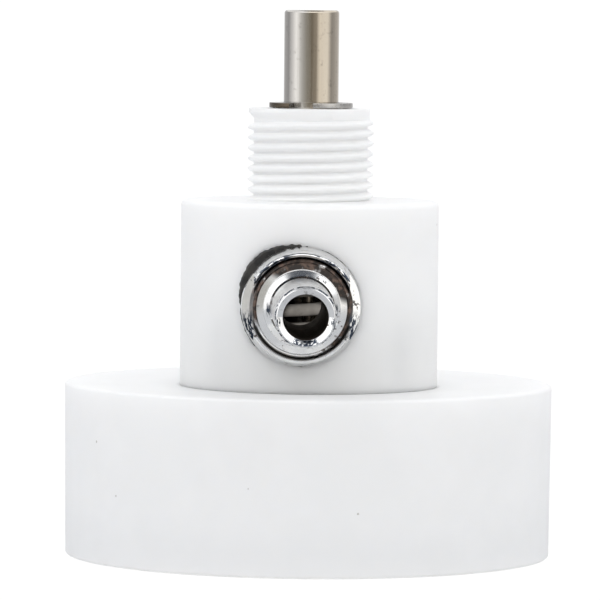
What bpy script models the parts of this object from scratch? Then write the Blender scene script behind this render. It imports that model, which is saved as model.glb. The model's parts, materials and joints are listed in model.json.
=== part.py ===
"""Carbon dioxide diffuser with a spring-closed lift valve, as an assembly of separate pieces.

Metres, +Z up. The origin is the centre of the flat underside, on the axis of the round body.
The gas inlet points along -Y. The valve stem runs up the body's axis and lifts along +Z.
"""

from math import acos, cos, degrees, pi, radians, sin, tau

import bmesh
import bpy
from mathutils import Matrix

MM = 0.001
SEAM = 0.1 * MM
RIGHT_ANGLE = radians(90)

# The wide round head that spreads the gas
HEAD_TOP_RADIUS = 35.05 * MM
HEAD_FOOT_RADIUS = 34.85 * MM
HEAD_HEIGHT = 24.8 * MM
HEAD_EDGE = 0.5 * MM
HEAD_SEGMENTS = 48
SOCKET_RADIUS = 12.3 * MM
SOCKET_FLOOR = 18.6 * MM
OUTLET_RADIUS = 5.6 * MM
PLENUM_RADIUS = 26 * MM
PLENUM_CEILING = 12 * MM
POROUS_STEP_RADIUS = 28 * MM
POROUS_STEP = 6.4 * MM
PLATE_LEDGE = 4.4 * MM
PLATE_RECESS_RADIUS = 32.3 * MM

# The hub with its threaded stud, M18 x 1.5
HUB_RADIUS = 18.55 * MM
HUB_TOP = 51.1 * MM
HUB_EDGE = 1 * MM
BODY_SEGMENTS = 32
SPIGOT_RADIUS = 12 * MM
SPIGOT_FOOT = 18.9 * MM
SPIGOT_GROOVE_RADIUS = 10.9 * MM
SPIGOT_GROOVE = (21.1 * MM, 22.9 * MM)
SPIGOT_RING = (11.57 * MM, 0.6 * MM, 22 * MM)
STUD_RADIUS = 9 * MM
STUD_ROOT_RADIUS = 8.1 * MM
STUD_TOP = 64.3 * MM
STUD_FOOT_RADIUS = 9.1 * MM
STUD_FOOT = 0.3 * MM
THREAD_PITCH = 1.5 * MM
THREAD_TURNS = 8
SEAT_POCKET_RADIUS = 9 * MM
SEAT_POCKET_ROOF = 22.6 * MM
CHAMBER_RADIUS = 7.5 * MM
CHAMBER_ROOF = 47.9 * MM
GLAND_RADIUS = 5.8 * MM
GLAND_ROOF = 58 * MM
STUD_BORE_RADIUS = 4.2 * MM

# The side port, and the fitting that sits a little off it
PORT_X = -1.94 * MM
PORT_Z = 37.23 * MM
PORT_FACE = 16.2 * MM
PORT_FACE_RADIUS = 9 * MM
PORT_MOUTH = 25 * MM
PORT_END = 4.5 * MM
PORT_BORE_RADIUS = 5.5 * MM
PORT_BORE_END = 9 * MM
PORT_PASSAGE_RADIUS = 3.6 * MM
FITTING_X = -1.66 * MM
FITTING_Z = 36.95 * MM
FITTING_BORE_RADIUS = 3.1 * MM
FITTING_SEGMENTS = 32
WASHER_RADII = (6 * MM, 8.65 * MM)
UNION_FLANGE_RADIUS = 8.5 * MM
UNION_FLANGE_BACK = 17.6 * MM
UNION_FLANGE_EDGE = 0.3 * MM
UNION_FLANGE_FRONT = 19.3 * MM
UNION_RIM_RADIUS = 8.3 * MM
UNION_RIM_FRONT = 23 * MM
UNION_RIM_EDGE = 1 * MM
UNION_RIM_DISH = 0.7 * MM
UNION_ACROSS_FLATS = 13.4 * MM
FLAT_CUTTER = (5 * MM, 20 * MM, 8 * MM)
UNION_SOCKET_RADIUS = 6.6 * MM
UNION_SOCKET_FLOOR = 19.6 * MM
UNION_SHANK_RADIUS = 4.85 * MM
UNION_SHANK_END = 9.7 * MM
UNION_SHANK_EDGE = 0.4 * MM
NOZZLE_TIP = 44.1 * MM
NOZZLE_TIP_RADIUS = 4.05 * MM
NOZZLE_TIP_EDGE = 0.25 * MM
NOZZLE_ROOT_RADIUS = 4.3 * MM
NOZZLE_ROOT = 25.2 * MM
NOZZLE_SHOULDER_RADIUS = 5.35 * MM
NOZZLE_SHOULDER = 24.3 * MM
NOZZLE_COLLAR_RADIUS = 6.3 * MM
NOZZLE_COLLAR_FRONT = 23.4 * MM
NOZZLE_COLLAR_BACK = 19.8 * MM

# The valve stem and what it carries
STEM_RADIUS = 3.95 * MM
STEM_TOP = 78.4 * MM
STEM_EDGE = 0.5 * MM
STEM_SHOULDER = 27 * MM
STEM_TIP_RADIUS = 2 * MM
STEM_FOOT = 20 * MM
STEM_SEGMENTS = 32
CLIP_GROOVE_RADIUS = 3 * MM
CLIP_GROOVE = (64.3 * MM, 65.2 * MM)
CLIP_FOOT = 64.4 * MM
CLIP_THICKNESS = 0.7 * MM
CLIP_RADIUS = 6 * MM
CLIP_GRIP_RADIUS = 3.1 * MM
CLIP_RELIEF_RADIUS = 4.4 * MM
CLIP_OPENING = 3.5 * MM
CLIP_TURN = radians(-16)
POPPET = (24.2 * MM, 26.8 * MM)
POPPET_RADIUS = 6.4 * MM
POPPET_SEAL = (22.7 * MM, 24 * MM)
POPPET_SEAL_RADIUS = 6.1 * MM
POPPET_BORE_RADIUS = 2.1 * MM
NUT = (20.3 * MM, 22.5 * MM)
NUT_ACROSS_CORNERS = 8.08 * MM

# The return spring, between its washer and the guide bush
SPRING_FOOT = 28.3 * MM
SPRING_TOP = 46.3 * MM
SPRING_RADIUS = 5.3 * MM
SPRING_WIRE_RADIUS = 0.9 * MM
SPRING_TURNS = 6
SPRING_POINTS_A_TURN = 12
SPRING_WASHER = (27.1 * MM, 28.1 * MM)
SPRING_WASHER_RADII = (4.1 * MM, 7 * MM)

# The seat and the gland stack in the stud
SEAT = (18.9 * MM, 22.4 * MM)
SEAT_RADIUS = 8.7 * MM
SEAT_ORIFICE_RADIUS = 5.2 * MM
SEAT_GROOVE = (19.9 * MM, 21.5 * MM)
SEAT_GROOVE_RADIUS = 7.9 * MM
SEAT_RING = (8.42 * MM, 0.43 * MM, 20.7 * MM)
BUSH_BORE_RADIUS = 4.05 * MM
BUSH_RADIUS = 5.6 * MM
BUSH_FLANGE_RADIUS = 7.2 * MM
BUSH = (46.6 * MM, 47.6 * MM, 52 * MM)
SPACER = (54.2 * MM, 55.9 * MM)
SPACER_RADII = (4.25 * MM, 5.6 * MM)
STEM_RING = (4.97 * MM, 0.78 * MM)
STEM_RING_HEIGHTS = (("lower", 53.1 * MM), ("upper", 57 * MM))

# The parts under the head
PLATE_RADIUS = 32 * MM
PLATE_TOP = 2.8 * MM
PLATE_HOLE_RADIUS = 1.25 * MM
PLATE_HOLE_RINGS = ((9 * MM, 6), (15.5 * MM, 10), (22 * MM, 14))
PLATE_HOLE_SEGMENTS = 8
GASKET = (3.1 * MM, 4.1 * MM)
GASKET_RADII = (28.3 * MM, 31.9 * MM)
POROUS_DISC = (3.1 * MM, 6.1 * MM)
POROUS_DISC_RADIUS = 27.6 * MM

# The fasteners
BODY_SCREW_CIRCLE = 15.3 * MM
BODY_SCREW_ANGLES = (45, 135, 225, 315)
BODY_SCREW_HEAD = (12.2 * MM, 16 * MM)
BODY_SCREW_HEAD_RADIUS = 3.5 * MM
BODY_SCREW_RADIUS = 1.65 * MM
BODY_SCREW_END = 33 * MM
BODY_SCREW_SOCKET_RADIUS = 1.7 * MM
BODY_SCREW_SOCKET_DEPTH = 2 * MM
BODY_SCREW_COUNTERBORE = 16.2 * MM
BODY_SCREW_COUNTERBORE_RADIUS = 3.8 * MM
BODY_SCREW_CLEARANCE_RADIUS = 2.2 * MM
BODY_SCREW_PILOT_RADIUS = 1.95 * MM
BODY_SCREW_PILOT_END = 34 * MM
PLATE_SCREW_CIRCLE = 29.9 * MM
PLATE_SCREW_ANGLES = (33, 93, 153, 213, 273, 333)
PLATE_SCREW_HEAD_RADIUS = 1.55 * MM
PLATE_SCREW_HEAD = (0.3 * MM, 1.6 * MM)
PLATE_SCREW_RADIUS = 0.9 * MM
PLATE_SCREW_END = 9 * MM
PLATE_SCREW_COUNTERBORE = 1.8 * MM
PLATE_SCREW_COUNTERBORE_RADIUS = 1.75 * MM
PLATE_SCREW_CLEARANCE_RADIUS = 1.15 * MM
PLATE_SCREW_PILOT_END = 9.5 * MM
SCREW_SEGMENTS = 12
SMALL_SEGMENTS = 24
RING_SEGMENTS = 20
RING_SIDES = 6

COLOURS = {
    "white_plastic": ((0.83, 0.84, 0.83, 1), 0.42, 0.0),
    "chrome_plate": ((0.80, 0.80, 0.82, 1), 0.08, 1.0),
    "stem_steel": ((0.46, 0.42, 0.38, 1), 0.30, 1.0),
    "clip_steel": ((0.36, 0.33, 0.30, 1), 0.38, 1.0),
    "spring_steel": ((0.42, 0.39, 0.35, 1), 0.30, 1.0),
    "screw_steel": ((0.58, 0.57, 0.55, 1), 0.28, 1.0),
    "black_rubber": ((0.02, 0.02, 0.02, 1), 0.65, 0.0),
    "brass": ((0.72, 0.55, 0.28, 1), 0.30, 1.0),
    "bronze": ((0.50, 0.36, 0.22, 1), 0.45, 1.0),
    "seat_plastic": ((0.70, 0.68, 0.60, 1), 0.50, 0.0),
    "sintered_plastic": ((0.62, 0.62, 0.60, 1), 0.95, 0.0),
}


def clear_scene():
    for obj in list(bpy.data.objects):
        bpy.data.objects.remove(obj, do_unlink=True)


def new_collection(name):
    collection = bpy.data.collections.new(name)
    bpy.context.scene.collection.children.link(collection)
    return collection


def make_materials():
    """One Principled material for each finish."""
    materials = {}
    for name, (colour, roughness, metallic) in COLOURS.items():
        material = bpy.data.materials.new(name)
        material.use_nodes = True
        shader = material.node_tree.nodes["Principled BSDF"]
        shader.inputs["Base Color"].default_value = colour
        shader.inputs["Roughness"].default_value = roughness
        shader.inputs["Metallic"].default_value = metallic
        material.diffuse_color = colour
        materials[name] = material
    return materials


def new_empty(name, location, rotation=(0, 0, 0), parent=None):
    empty = bpy.data.objects.new(name, None)
    empty.empty_display_size = 5 * MM
    empty.location = location
    empty.rotation_euler = rotation
    empty.parent = parent
    PARTS.objects.link(empty)
    return empty


def shade(mesh):
    mesh.shade_smooth()
    mesh.set_sharp_from_angle(angle=radians(30))


def place(mesh, name, finish, parent):
    """Makes a mesh a named part with its finish."""
    obj = bpy.data.objects.new(name, mesh)
    mesh.materials.append(MATERIALS[finish])
    PARTS.objects.link(obj)
    obj.parent = parent
    return obj


def turned_mesh(name, profile, segments, closed):
    """A profile of (radius, height) points, spun about Z by a Screw modifier.

    The profile runs down its outer side. A closed profile makes a ring, and an open one
    starts and ends on the axis.
    """
    outline = bpy.data.meshes.new(name + "_profile")
    count = len(profile)
    edges = [(i, i + 1) for i in range(count - 1)]
    if closed:
        edges.append((count - 1, 0))
    outline.from_pydata([(radius, 0, height) for radius, height in profile], edges, [])
    spun = bpy.data.objects.new(name + "_profile", outline)
    bpy.context.scene.collection.objects.link(spun)
    screw = spun.modifiers.new("Screw", "SCREW")
    screw.axis = "Z"
    screw.angle = tau
    screw.steps = segments
    screw.render_steps = segments
    screw.use_merge_vertices = True
    screw.merge_threshold = 0.00001
    graph = bpy.context.evaluated_depsgraph_get()
    mesh = bpy.data.meshes.new_from_object(spun.evaluated_get(graph))
    bpy.data.objects.remove(spun, do_unlink=True)
    bpy.data.meshes.remove(outline)
    mesh.name = name
    shade(mesh)
    return mesh


def turned(name, profile, finish, parent, segments=SMALL_SEGMENTS, closed=True):
    return place(turned_mesh(name, profile, segments, closed), name, finish, parent)


def ring_profile(inner, outer, foot, top):
    """A square section, run down its outer side."""
    return [(inner, top), (outer, top), (outer, foot), (inner, foot)]


def arc(centre, radius, start, end, steps):
    """Points on a circle about a centre, from start to end degrees."""
    points = []
    for i in range(steps + 1):
        angle = radians(start + (end - start) * i / steps)
        points.append((centre[0] + radius * cos(angle), centre[1] + radius * sin(angle)))
    return points


def o_ring(name, radius, section_radius, height, parent):
    profile = arc((radius, height), section_radius, 90, -270, RING_SIDES)[:-1]
    return turned(name, profile, "black_rubber", parent, RING_SEGMENTS)


def cutter(name, mesh, location=(0, 0, 0), rotation=(0, 0, 0)):
    obj = bpy.data.objects.new(name, mesh)
    obj.location = location
    obj.rotation_euler = rotation
    obj.hide_render = True
    obj.display_type = "WIRE"
    CUTTERS.objects.link(obj)
    return obj


def rod_mesh(name, radius, foot, top, segments=SCREW_SEGMENTS):
    """A plain rod along Z, for cutters and prisms."""
    shape = bmesh.new()
    bmesh.ops.create_cone(
        shape,
        cap_ends=True,
        segments=segments,
        radius1=radius,
        radius2=radius,
        depth=top - foot,
        matrix=Matrix.Translation((0, 0, (foot + top) / 2)),
    )
    mesh = bpy.data.meshes.new(name)
    shape.to_mesh(mesh)
    shape.free()
    return mesh


def cut(obj, tool):
    boolean = obj.modifiers.new("Cut " + tool.name, "BOOLEAN")
    boolean.operation = "DIFFERENCE"
    boolean.solver = "EXACT"
    boolean.object = tool


def on_circle(radius, degrees, height=0.0):
    return (radius * cos(radians(degrees)), radius * sin(radians(degrees)), height)


def make_head(root):
    """The wide head: socket for the hub above, gas plenum and plate recess below."""
    top_edge = (HEAD_TOP_RADIUS - HEAD_EDGE, HEAD_HEIGHT - HEAD_EDGE)
    foot_edge = (HEAD_FOOT_RADIUS - HEAD_EDGE, HEAD_EDGE)
    profile = [(SOCKET_RADIUS, HEAD_HEIGHT)]
    profile += arc(top_edge, HEAD_EDGE, 90, 0, 2)
    profile += arc(foot_edge, HEAD_EDGE, 0, -90, 2)
    profile += [
        (PLATE_RECESS_RADIUS, 0),
        (PLATE_RECESS_RADIUS, PLATE_LEDGE),
        (POROUS_STEP_RADIUS, PLATE_LEDGE),
        (POROUS_STEP_RADIUS, POROUS_STEP),
        (PLENUM_RADIUS, POROUS_STEP),
        (PLENUM_RADIUS, PLENUM_CEILING),
        (OUTLET_RADIUS, PLENUM_CEILING),
        (OUTLET_RADIUS, SOCKET_FLOOR),
        (SOCKET_RADIUS, SOCKET_FLOOR),
    ]
    head = turned("diffuser_head", profile, "white_plastic", root, HEAD_SEGMENTS)
    foot = PLENUM_CEILING - MM
    clearance = rod_mesh("clearance", BODY_SCREW_CLEARANCE_RADIUS, foot, HEAD_HEIGHT + MM)
    counterbore = rod_mesh(
        "counterbore", BODY_SCREW_COUNTERBORE_RADIUS, foot, BODY_SCREW_COUNTERBORE
    )
    for number, angle in enumerate(BODY_SCREW_ANGLES, 1):
        spot = on_circle(BODY_SCREW_CIRCLE, angle)
        cut(head, cutter(f"head_clearance_{number}", clearance, spot))
        cut(head, cutter(f"head_counterbore_{number}", counterbore, spot))
    pilot = rod_mesh(
        "plate_pilot", PLATE_SCREW_CLEARANCE_RADIUS, PLATE_LEDGE - MM, PLATE_SCREW_PILOT_END
    )
    for number, angle in enumerate(PLATE_SCREW_ANGLES, 1):
        cut(head, cutter(f"head_pilot_{number}", pilot, on_circle(PLATE_SCREW_CIRCLE, angle)))


def thread_profile():
    """The stud's outline from its top chamfer down to a small foot on the hub's shoulder."""
    points = [(STUD_ROOT_RADIUS, STUD_TOP)]
    first_crest = STUD_TOP - THREAD_PITCH * 0.6
    for turn in range(THREAD_TURNS):
        crest = first_crest - turn * THREAD_PITCH
        points.append((STUD_RADIUS, crest))
        points.append((STUD_ROOT_RADIUS, crest - THREAD_PITCH / 2))
    points.append((STUD_ROOT_RADIUS, HUB_TOP + STUD_FOOT))
    points.append((STUD_FOOT_RADIUS, HUB_TOP))
    return points


def make_body(root):
    """Hub, threaded stud and spigot in one piece, with the spring chamber inside."""
    hub_edge = (HUB_RADIUS - HUB_EDGE, HUB_TOP - HUB_EDGE)
    hub_foot = HEAD_HEIGHT + SEAM
    profile = [(STUD_BORE_RADIUS, STUD_TOP)]
    profile += thread_profile()
    profile += arc(hub_edge, HUB_EDGE, 90, 0, 3)
    profile += [
        (HUB_RADIUS, hub_foot),
        (SPIGOT_RADIUS, hub_foot),
        (SPIGOT_RADIUS, SPIGOT_GROOVE[1]),
        (SPIGOT_GROOVE_RADIUS, SPIGOT_GROOVE[1]),
        (SPIGOT_GROOVE_RADIUS, SPIGOT_GROOVE[0]),
        (SPIGOT_RADIUS, SPIGOT_GROOVE[0]),
        (SPIGOT_RADIUS, SPIGOT_FOOT),
        (SEAT_POCKET_RADIUS, SPIGOT_FOOT),
        (SEAT_POCKET_RADIUS, SEAT_POCKET_ROOF),
        (CHAMBER_RADIUS, SEAT_POCKET_ROOF),
        (CHAMBER_RADIUS, CHAMBER_ROOF),
        (GLAND_RADIUS, CHAMBER_ROOF),
        (GLAND_RADIUS, GLAND_ROOF),
        (STUD_BORE_RADIUS, GLAND_ROOF),
    ]
    body = turned("valve_body", profile, "white_plastic", root, BODY_SEGMENTS)
    port = [
        (0, PORT_MOUTH),
        (PORT_FACE_RADIUS, PORT_MOUTH),
        (PORT_FACE_RADIUS, PORT_FACE),
        (PORT_BORE_RADIUS, PORT_FACE),
        (PORT_BORE_RADIUS, PORT_BORE_END),
        (PORT_PASSAGE_RADIUS, PORT_BORE_END),
        (PORT_PASSAGE_RADIUS, PORT_END),
        (0, PORT_END),
    ]
    port_mesh = turned_mesh("port", port, BODY_SEGMENTS, closed=False)
    cut(body, cutter("port", port_mesh, (PORT_X, 0, PORT_Z), (RIGHT_ANGLE, 0, 0)))
    pilot = rod_mesh(
        "body_pilot", BODY_SCREW_PILOT_RADIUS, HEAD_HEIGHT - MM, BODY_SCREW_PILOT_END
    )
    for number, angle in enumerate(BODY_SCREW_ANGLES, 1):
        cut(body, cutter(f"body_pilot_{number}", pilot, on_circle(BODY_SCREW_CIRCLE, angle)))
    o_ring("spigot_o_ring", *SPIGOT_RING, root)


def make_body_screws(root):
    """Cap screws that hold the hub to the head, put in from the plenum."""
    foot, shoulder = BODY_SCREW_HEAD
    profile = [
        (0, BODY_SCREW_END),
        (BODY_SCREW_RADIUS, BODY_SCREW_END),
        (BODY_SCREW_RADIUS, shoulder),
        (BODY_SCREW_HEAD_RADIUS, shoulder),
        (BODY_SCREW_HEAD_RADIUS, foot),
        (0, foot),
    ]
    mesh = turned_mesh("body_screw", profile, SCREW_SEGMENTS, closed=False)
    mesh.materials.append(MATERIALS["screw_steel"])
    socket = rod_mesh(
        "body_socket", BODY_SCREW_SOCKET_RADIUS, foot - MM, foot + BODY_SCREW_SOCKET_DEPTH, 6
    )
    for number, angle in enumerate(BODY_SCREW_ANGLES, 1):
        screw = bpy.data.objects.new(f"body_screw_{number}", mesh)
        screw.location = on_circle(BODY_SCREW_CIRCLE, angle)
        screw.parent = root
        PARTS.objects.link(screw)
        cut(screw, cutter(f"body_socket_{number}", socket, screw.location))


def cut_flats(union):
    """Two spanner flats across the union's rim, in front of its flange."""
    width, height, length = FLAT_CUTTER
    flat = bmesh.new()
    bmesh.ops.create_cube(flat, size=1)
    bmesh.ops.scale(flat, vec=(width, height, length), verts=flat.verts)
    mesh = bpy.data.meshes.new("union_flat")
    flat.to_mesh(mesh)
    flat.free()
    for side, name in ((-1, "left"), (1, "right")):
        across = FITTING_X + side * (UNION_ACROSS_FLATS + width) / 2
        spot = (across, -UNION_FLANGE_FRONT - length / 2, FITTING_Z)
        cut(union, cutter(f"union_flat_{name}", mesh, spot, (RIGHT_ANGLE, 0, 0)))


def make_inlet(root):
    """The union that screws into the port, the nozzle in its front, and the washer."""
    port_axis = new_empty("port_axis", (PORT_X, 0, PORT_Z), (RIGHT_ANGLE, 0, 0), root)
    washer = ring_profile(*WASHER_RADII, PORT_FACE + SEAM, UNION_FLANGE_BACK - SEAM)
    turned("inlet_washer", washer, "black_rubber", port_axis, FITTING_SEGMENTS)

    axis = new_empty("inlet_axis", (FITTING_X, 0, FITTING_Z), (RIGHT_ANGLE, 0, 0), root)
    rim_edge = (UNION_RIM_RADIUS - UNION_RIM_EDGE, UNION_RIM_FRONT - UNION_RIM_EDGE)
    profile = [(UNION_SOCKET_RADIUS, UNION_RIM_FRONT - UNION_RIM_DISH)]
    profile += arc(rim_edge, UNION_RIM_EDGE, 90, 0, 3)
    profile += [
        (UNION_RIM_RADIUS, UNION_FLANGE_FRONT),
        (UNION_FLANGE_RADIUS, UNION_FLANGE_FRONT),
        (UNION_FLANGE_RADIUS, UNION_FLANGE_BACK + UNION_FLANGE_EDGE),
        (UNION_FLANGE_RADIUS - UNION_FLANGE_EDGE, UNION_FLANGE_BACK),
        (UNION_SHANK_RADIUS, UNION_FLANGE_BACK),
        (UNION_SHANK_RADIUS, UNION_SHANK_END + UNION_SHANK_EDGE),
        (UNION_SHANK_RADIUS - UNION_SHANK_EDGE, UNION_SHANK_END),
        (FITTING_BORE_RADIUS, UNION_SHANK_END),
        (FITTING_BORE_RADIUS, UNION_SOCKET_FLOOR),
        (UNION_SOCKET_RADIUS, UNION_SOCKET_FLOOR),
    ]
    union = turned("inlet_union", profile, "chrome_plate", axis, FITTING_SEGMENTS)
    cut_flats(union)

    nozzle = [
        (FITTING_BORE_RADIUS + NOZZLE_TIP_EDGE, NOZZLE_TIP),
        (NOZZLE_TIP_RADIUS - NOZZLE_TIP_EDGE, NOZZLE_TIP),
        (NOZZLE_TIP_RADIUS, NOZZLE_TIP - NOZZLE_TIP_EDGE),
        (NOZZLE_ROOT_RADIUS, NOZZLE_ROOT),
        (NOZZLE_SHOULDER_RADIUS, NOZZLE_SHOULDER),
        (NOZZLE_COLLAR_RADIUS, NOZZLE_COLLAR_FRONT),
        (NOZZLE_COLLAR_RADIUS, NOZZLE_COLLAR_BACK),
        (FITTING_BORE_RADIUS, NOZZLE_COLLAR_BACK),
        (FITTING_BORE_RADIUS, NOZZLE_TIP - NOZZLE_TIP_EDGE),
    ]
    turned("inlet_nozzle", nozzle, "chrome_plate", axis, FITTING_SEGMENTS)


def make_seat(root):
    """The seat ring that the hub clamps on the socket's floor, and its O-ring."""
    foot, top = SEAT
    profile = [
        (SEAT_ORIFICE_RADIUS, top),
        (SEAT_RADIUS, top),
        (SEAT_RADIUS, SEAT_GROOVE[1]),
        (SEAT_GROOVE_RADIUS, SEAT_GROOVE[1]),
        (SEAT_GROOVE_RADIUS, SEAT_GROOVE[0]),
        (SEAT_RADIUS, SEAT_GROOVE[0]),
        (SEAT_RADIUS, foot),
        (SEAT_ORIFICE_RADIUS, foot),
    ]
    turned("valve_seat", profile, "seat_plastic", root)
    o_ring("seat_o_ring", *SEAT_RING, root)


def make_gland(root):
    """The stack in the stud's bore that guides and seals the stem."""
    flange_foot, flange_top, bush_top = BUSH
    bush = [
        (BUSH_BORE_RADIUS, bush_top),
        (BUSH_RADIUS, bush_top),
        (BUSH_RADIUS, flange_top),
        (BUSH_FLANGE_RADIUS, flange_top),
        (BUSH_FLANGE_RADIUS, flange_foot),
        (BUSH_BORE_RADIUS, flange_foot),
    ]
    turned("guide_bush", bush, "bronze", root, STEM_SEGMENTS)
    turned("gland_spacer", ring_profile(*SPACER_RADII, *SPACER), "brass", root)
    for place_name, height in STEM_RING_HEIGHTS:
        o_ring(f"stem_o_ring_{place_name}", *STEM_RING, height, root)


def make_spring(root):
    """A round-wire compression spring, wound to the right."""
    curve = bpy.data.curves.new("return_spring", "CURVE")
    curve.dimensions = "3D"
    curve.bevel_depth = SPRING_WIRE_RADIUS
    curve.bevel_resolution = 2
    curve.use_fill_caps = True
    spline = curve.splines.new("POLY")
    count = SPRING_TURNS * SPRING_POINTS_A_TURN
    spline.points.add(count)
    foot = SPRING_FOOT + SPRING_WIRE_RADIUS
    rise = SPRING_TOP - SPRING_FOOT - 2 * SPRING_WIRE_RADIUS
    for i, point in enumerate(spline.points):
        angle = tau * i / SPRING_POINTS_A_TURN
        height = foot + rise * i / count
        point.co = (SPRING_RADIUS * cos(angle), SPRING_RADIUS * sin(angle), height, 1)
    curve.materials.append(MATERIALS["spring_steel"])
    spring = bpy.data.objects.new("return_spring", curve)
    spring.parent = root
    PARTS.objects.link(spring)


def make_stem(axis):
    """The round stem: a groove for the clip, and a thin tip for the poppet."""
    profile = [
        (0, STEM_TOP),
        (STEM_RADIUS - STEM_EDGE, STEM_TOP),
        (STEM_RADIUS, STEM_TOP - STEM_EDGE),
        (STEM_RADIUS, CLIP_GROOVE[1]),
        (CLIP_GROOVE_RADIUS, CLIP_GROOVE[1]),
        (CLIP_GROOVE_RADIUS, CLIP_GROOVE[0]),
        (STEM_RADIUS, CLIP_GROOVE[0]),
        (STEM_RADIUS, STEM_SHOULDER),
        (STEM_TIP_RADIUS, STEM_SHOULDER),
        (STEM_TIP_RADIUS, STEM_FOOT),
        (0, STEM_FOOT),
    ]
    turned("valve_stem", profile, "stem_steel", axis, STEM_SEGMENTS, closed=False)


def clip_outline():
    """The clip's edge, opening towards +Y: the outer arc, then back round grips and reliefs."""
    half_gap = CLIP_OPENING / 2
    outer_end = degrees(acos(half_gap / CLIP_RADIUS))
    grip_end = degrees(acos(half_gap / CLIP_GRIP_RADIUS))
    stretches = (
        (CLIP_RADIUS, 180 - outer_end, 360 + outer_end, 24),
        (CLIP_GRIP_RADIUS, grip_end, 30, 2),
        (CLIP_RELIEF_RADIUS, 22, -50, 5),
        (CLIP_GRIP_RADIUS, -60, -120, 4),
        (CLIP_RELIEF_RADIUS, -130, -202, 5),
        (CLIP_GRIP_RADIUS, -210, -180 - grip_end, 2),
    )
    points = []
    for radius, start, end, steps in stretches:
        points += arc((0, 0), radius, start, end, steps)
    return points


def make_clip(axis):
    """An open clip in the stem's groove, resting on the stud's top."""
    curve = bpy.data.curves.new("stem_clip", "CURVE")
    curve.dimensions = "2D"
    curve.fill_mode = "BOTH"
    curve.extrude = CLIP_THICKNESS / 2
    outline = clip_outline()
    spline = curve.splines.new("POLY")
    spline.points.add(len(outline) - 1)
    for point, (x, y) in zip(spline.points, outline):
        point.co = (x, y, 0, 1)
    spline.use_cyclic_u = True
    curve.materials.append(MATERIALS["clip_steel"])
    clip = bpy.data.objects.new("stem_clip", curve)
    clip.location = (0, 0, CLIP_FOOT + CLIP_THICKNESS / 2)
    clip.rotation_euler = (0, 0, pi + CLIP_TURN)
    clip.parent = axis
    PARTS.objects.link(clip)


def make_poppet(axis):
    """The poppet, its rubber face and the nut that holds both on the stem's tip."""
    poppet = ring_profile(POPPET_BORE_RADIUS, POPPET_RADIUS, *POPPET)
    turned("poppet", poppet, "brass", axis)
    seal = ring_profile(POPPET_BORE_RADIUS, POPPET_SEAL_RADIUS, *POPPET_SEAL)
    turned("poppet_seal", seal, "black_rubber", axis)
    nut_mesh = rod_mesh("poppet_nut", NUT_ACROSS_CORNERS / 2, *NUT, 6)
    nut = place(nut_mesh, "poppet_nut", "screw_steel", axis)
    bore = rod_mesh("nut_bore", POPPET_BORE_RADIUS, NUT[0] - MM, NUT[1] + MM)
    cut(nut, cutter("nut_bore", bore))


def make_plate(root):
    """The drilled plate in the head's underside, its gasket and the porous disc."""
    plate_mesh = rod_mesh("diffuser_plate", PLATE_RADIUS, 0, PLATE_TOP, HEAD_SEGMENTS)
    plate = place(plate_mesh, "diffuser_plate", "white_plastic", root)
    shade(plate_mesh)
    hole = rod_mesh("plate_hole", PLATE_HOLE_RADIUS, -MM, PLATE_TOP + MM, PLATE_HOLE_SEGMENTS)
    for ring, (radius, count) in enumerate(PLATE_HOLE_RINGS, 1):
        for number in range(count):
            spot = on_circle(radius, 360 * number / count)
            cut(plate, cutter(f"plate_hole_{ring}_{number}", hole, spot))
    gasket_mesh = turned_mesh(
        "plate_gasket", ring_profile(*GASKET_RADII, *GASKET), HEAD_SEGMENTS, closed=True
    )
    gasket = place(gasket_mesh, "plate_gasket", "black_rubber", root)
    clearance = rod_mesh("plate_clearance", PLATE_SCREW_CLEARANCE_RADIUS, -MM, GASKET[1] + MM)
    counterbore = rod_mesh(
        "plate_counterbore", PLATE_SCREW_COUNTERBORE_RADIUS, -MM, PLATE_SCREW_COUNTERBORE
    )
    for number, angle in enumerate(PLATE_SCREW_ANGLES, 1):
        spot = on_circle(PLATE_SCREW_CIRCLE, angle)
        through = cutter(f"plate_clearance_{number}", clearance, spot)
        cut(plate, through)
        cut(gasket, through)
        cut(plate, cutter(f"plate_counterbore_{number}", counterbore, spot))
    porous = rod_mesh("porous_disc", POROUS_DISC_RADIUS, *POROUS_DISC, HEAD_SEGMENTS)
    place(porous, "porous_disc", "sintered_plastic", root)


def make_plate_screws(root):
    """Small screws round the plate's edge."""
    foot, shoulder = PLATE_SCREW_HEAD
    profile = [
        (0, PLATE_SCREW_END),
        (PLATE_SCREW_RADIUS, PLATE_SCREW_END),
        (PLATE_SCREW_RADIUS, shoulder),
        (PLATE_SCREW_HEAD_RADIUS, shoulder),
        (PLATE_SCREW_HEAD_RADIUS, foot),
        (0, foot),
    ]
    mesh = turned_mesh("plate_screw", profile, SCREW_SEGMENTS, closed=False)
    mesh.materials.append(MATERIALS["screw_steel"])
    for number, angle in enumerate(PLATE_SCREW_ANGLES, 1):
        screw = bpy.data.objects.new(f"plate_screw_{number}", mesh)
        screw.location = on_circle(PLATE_SCREW_CIRCLE, angle)
        screw.parent = root
        PARTS.objects.link(screw)


clear_scene()
PARTS = new_collection("carbon_dioxide_diffuser")
CUTTERS = new_collection("cutters")
CUTTERS.hide_render = True
MATERIALS = make_materials()

body_axis = new_empty("body_axis", (0, 0, 0))
make_head(body_axis)
make_body(body_axis)
make_body_screws(body_axis)
make_inlet(body_axis)
make_seat(body_axis)
make_gland(body_axis)
make_spring(body_axis)
make_plate(body_axis)
make_plate_screws(body_axis)

stem_axis = new_empty("stem_axis", (0, 0, 0), parent=body_axis)
make_stem(stem_axis)
make_clip(stem_axis)
make_poppet(stem_axis)
spring_washer = ring_profile(*SPRING_WASHER_RADII, *SPRING_WASHER)
turned("spring_washer", spring_washer, "clip_steel", stem_axis, STEM_SEGMENTS)
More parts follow.
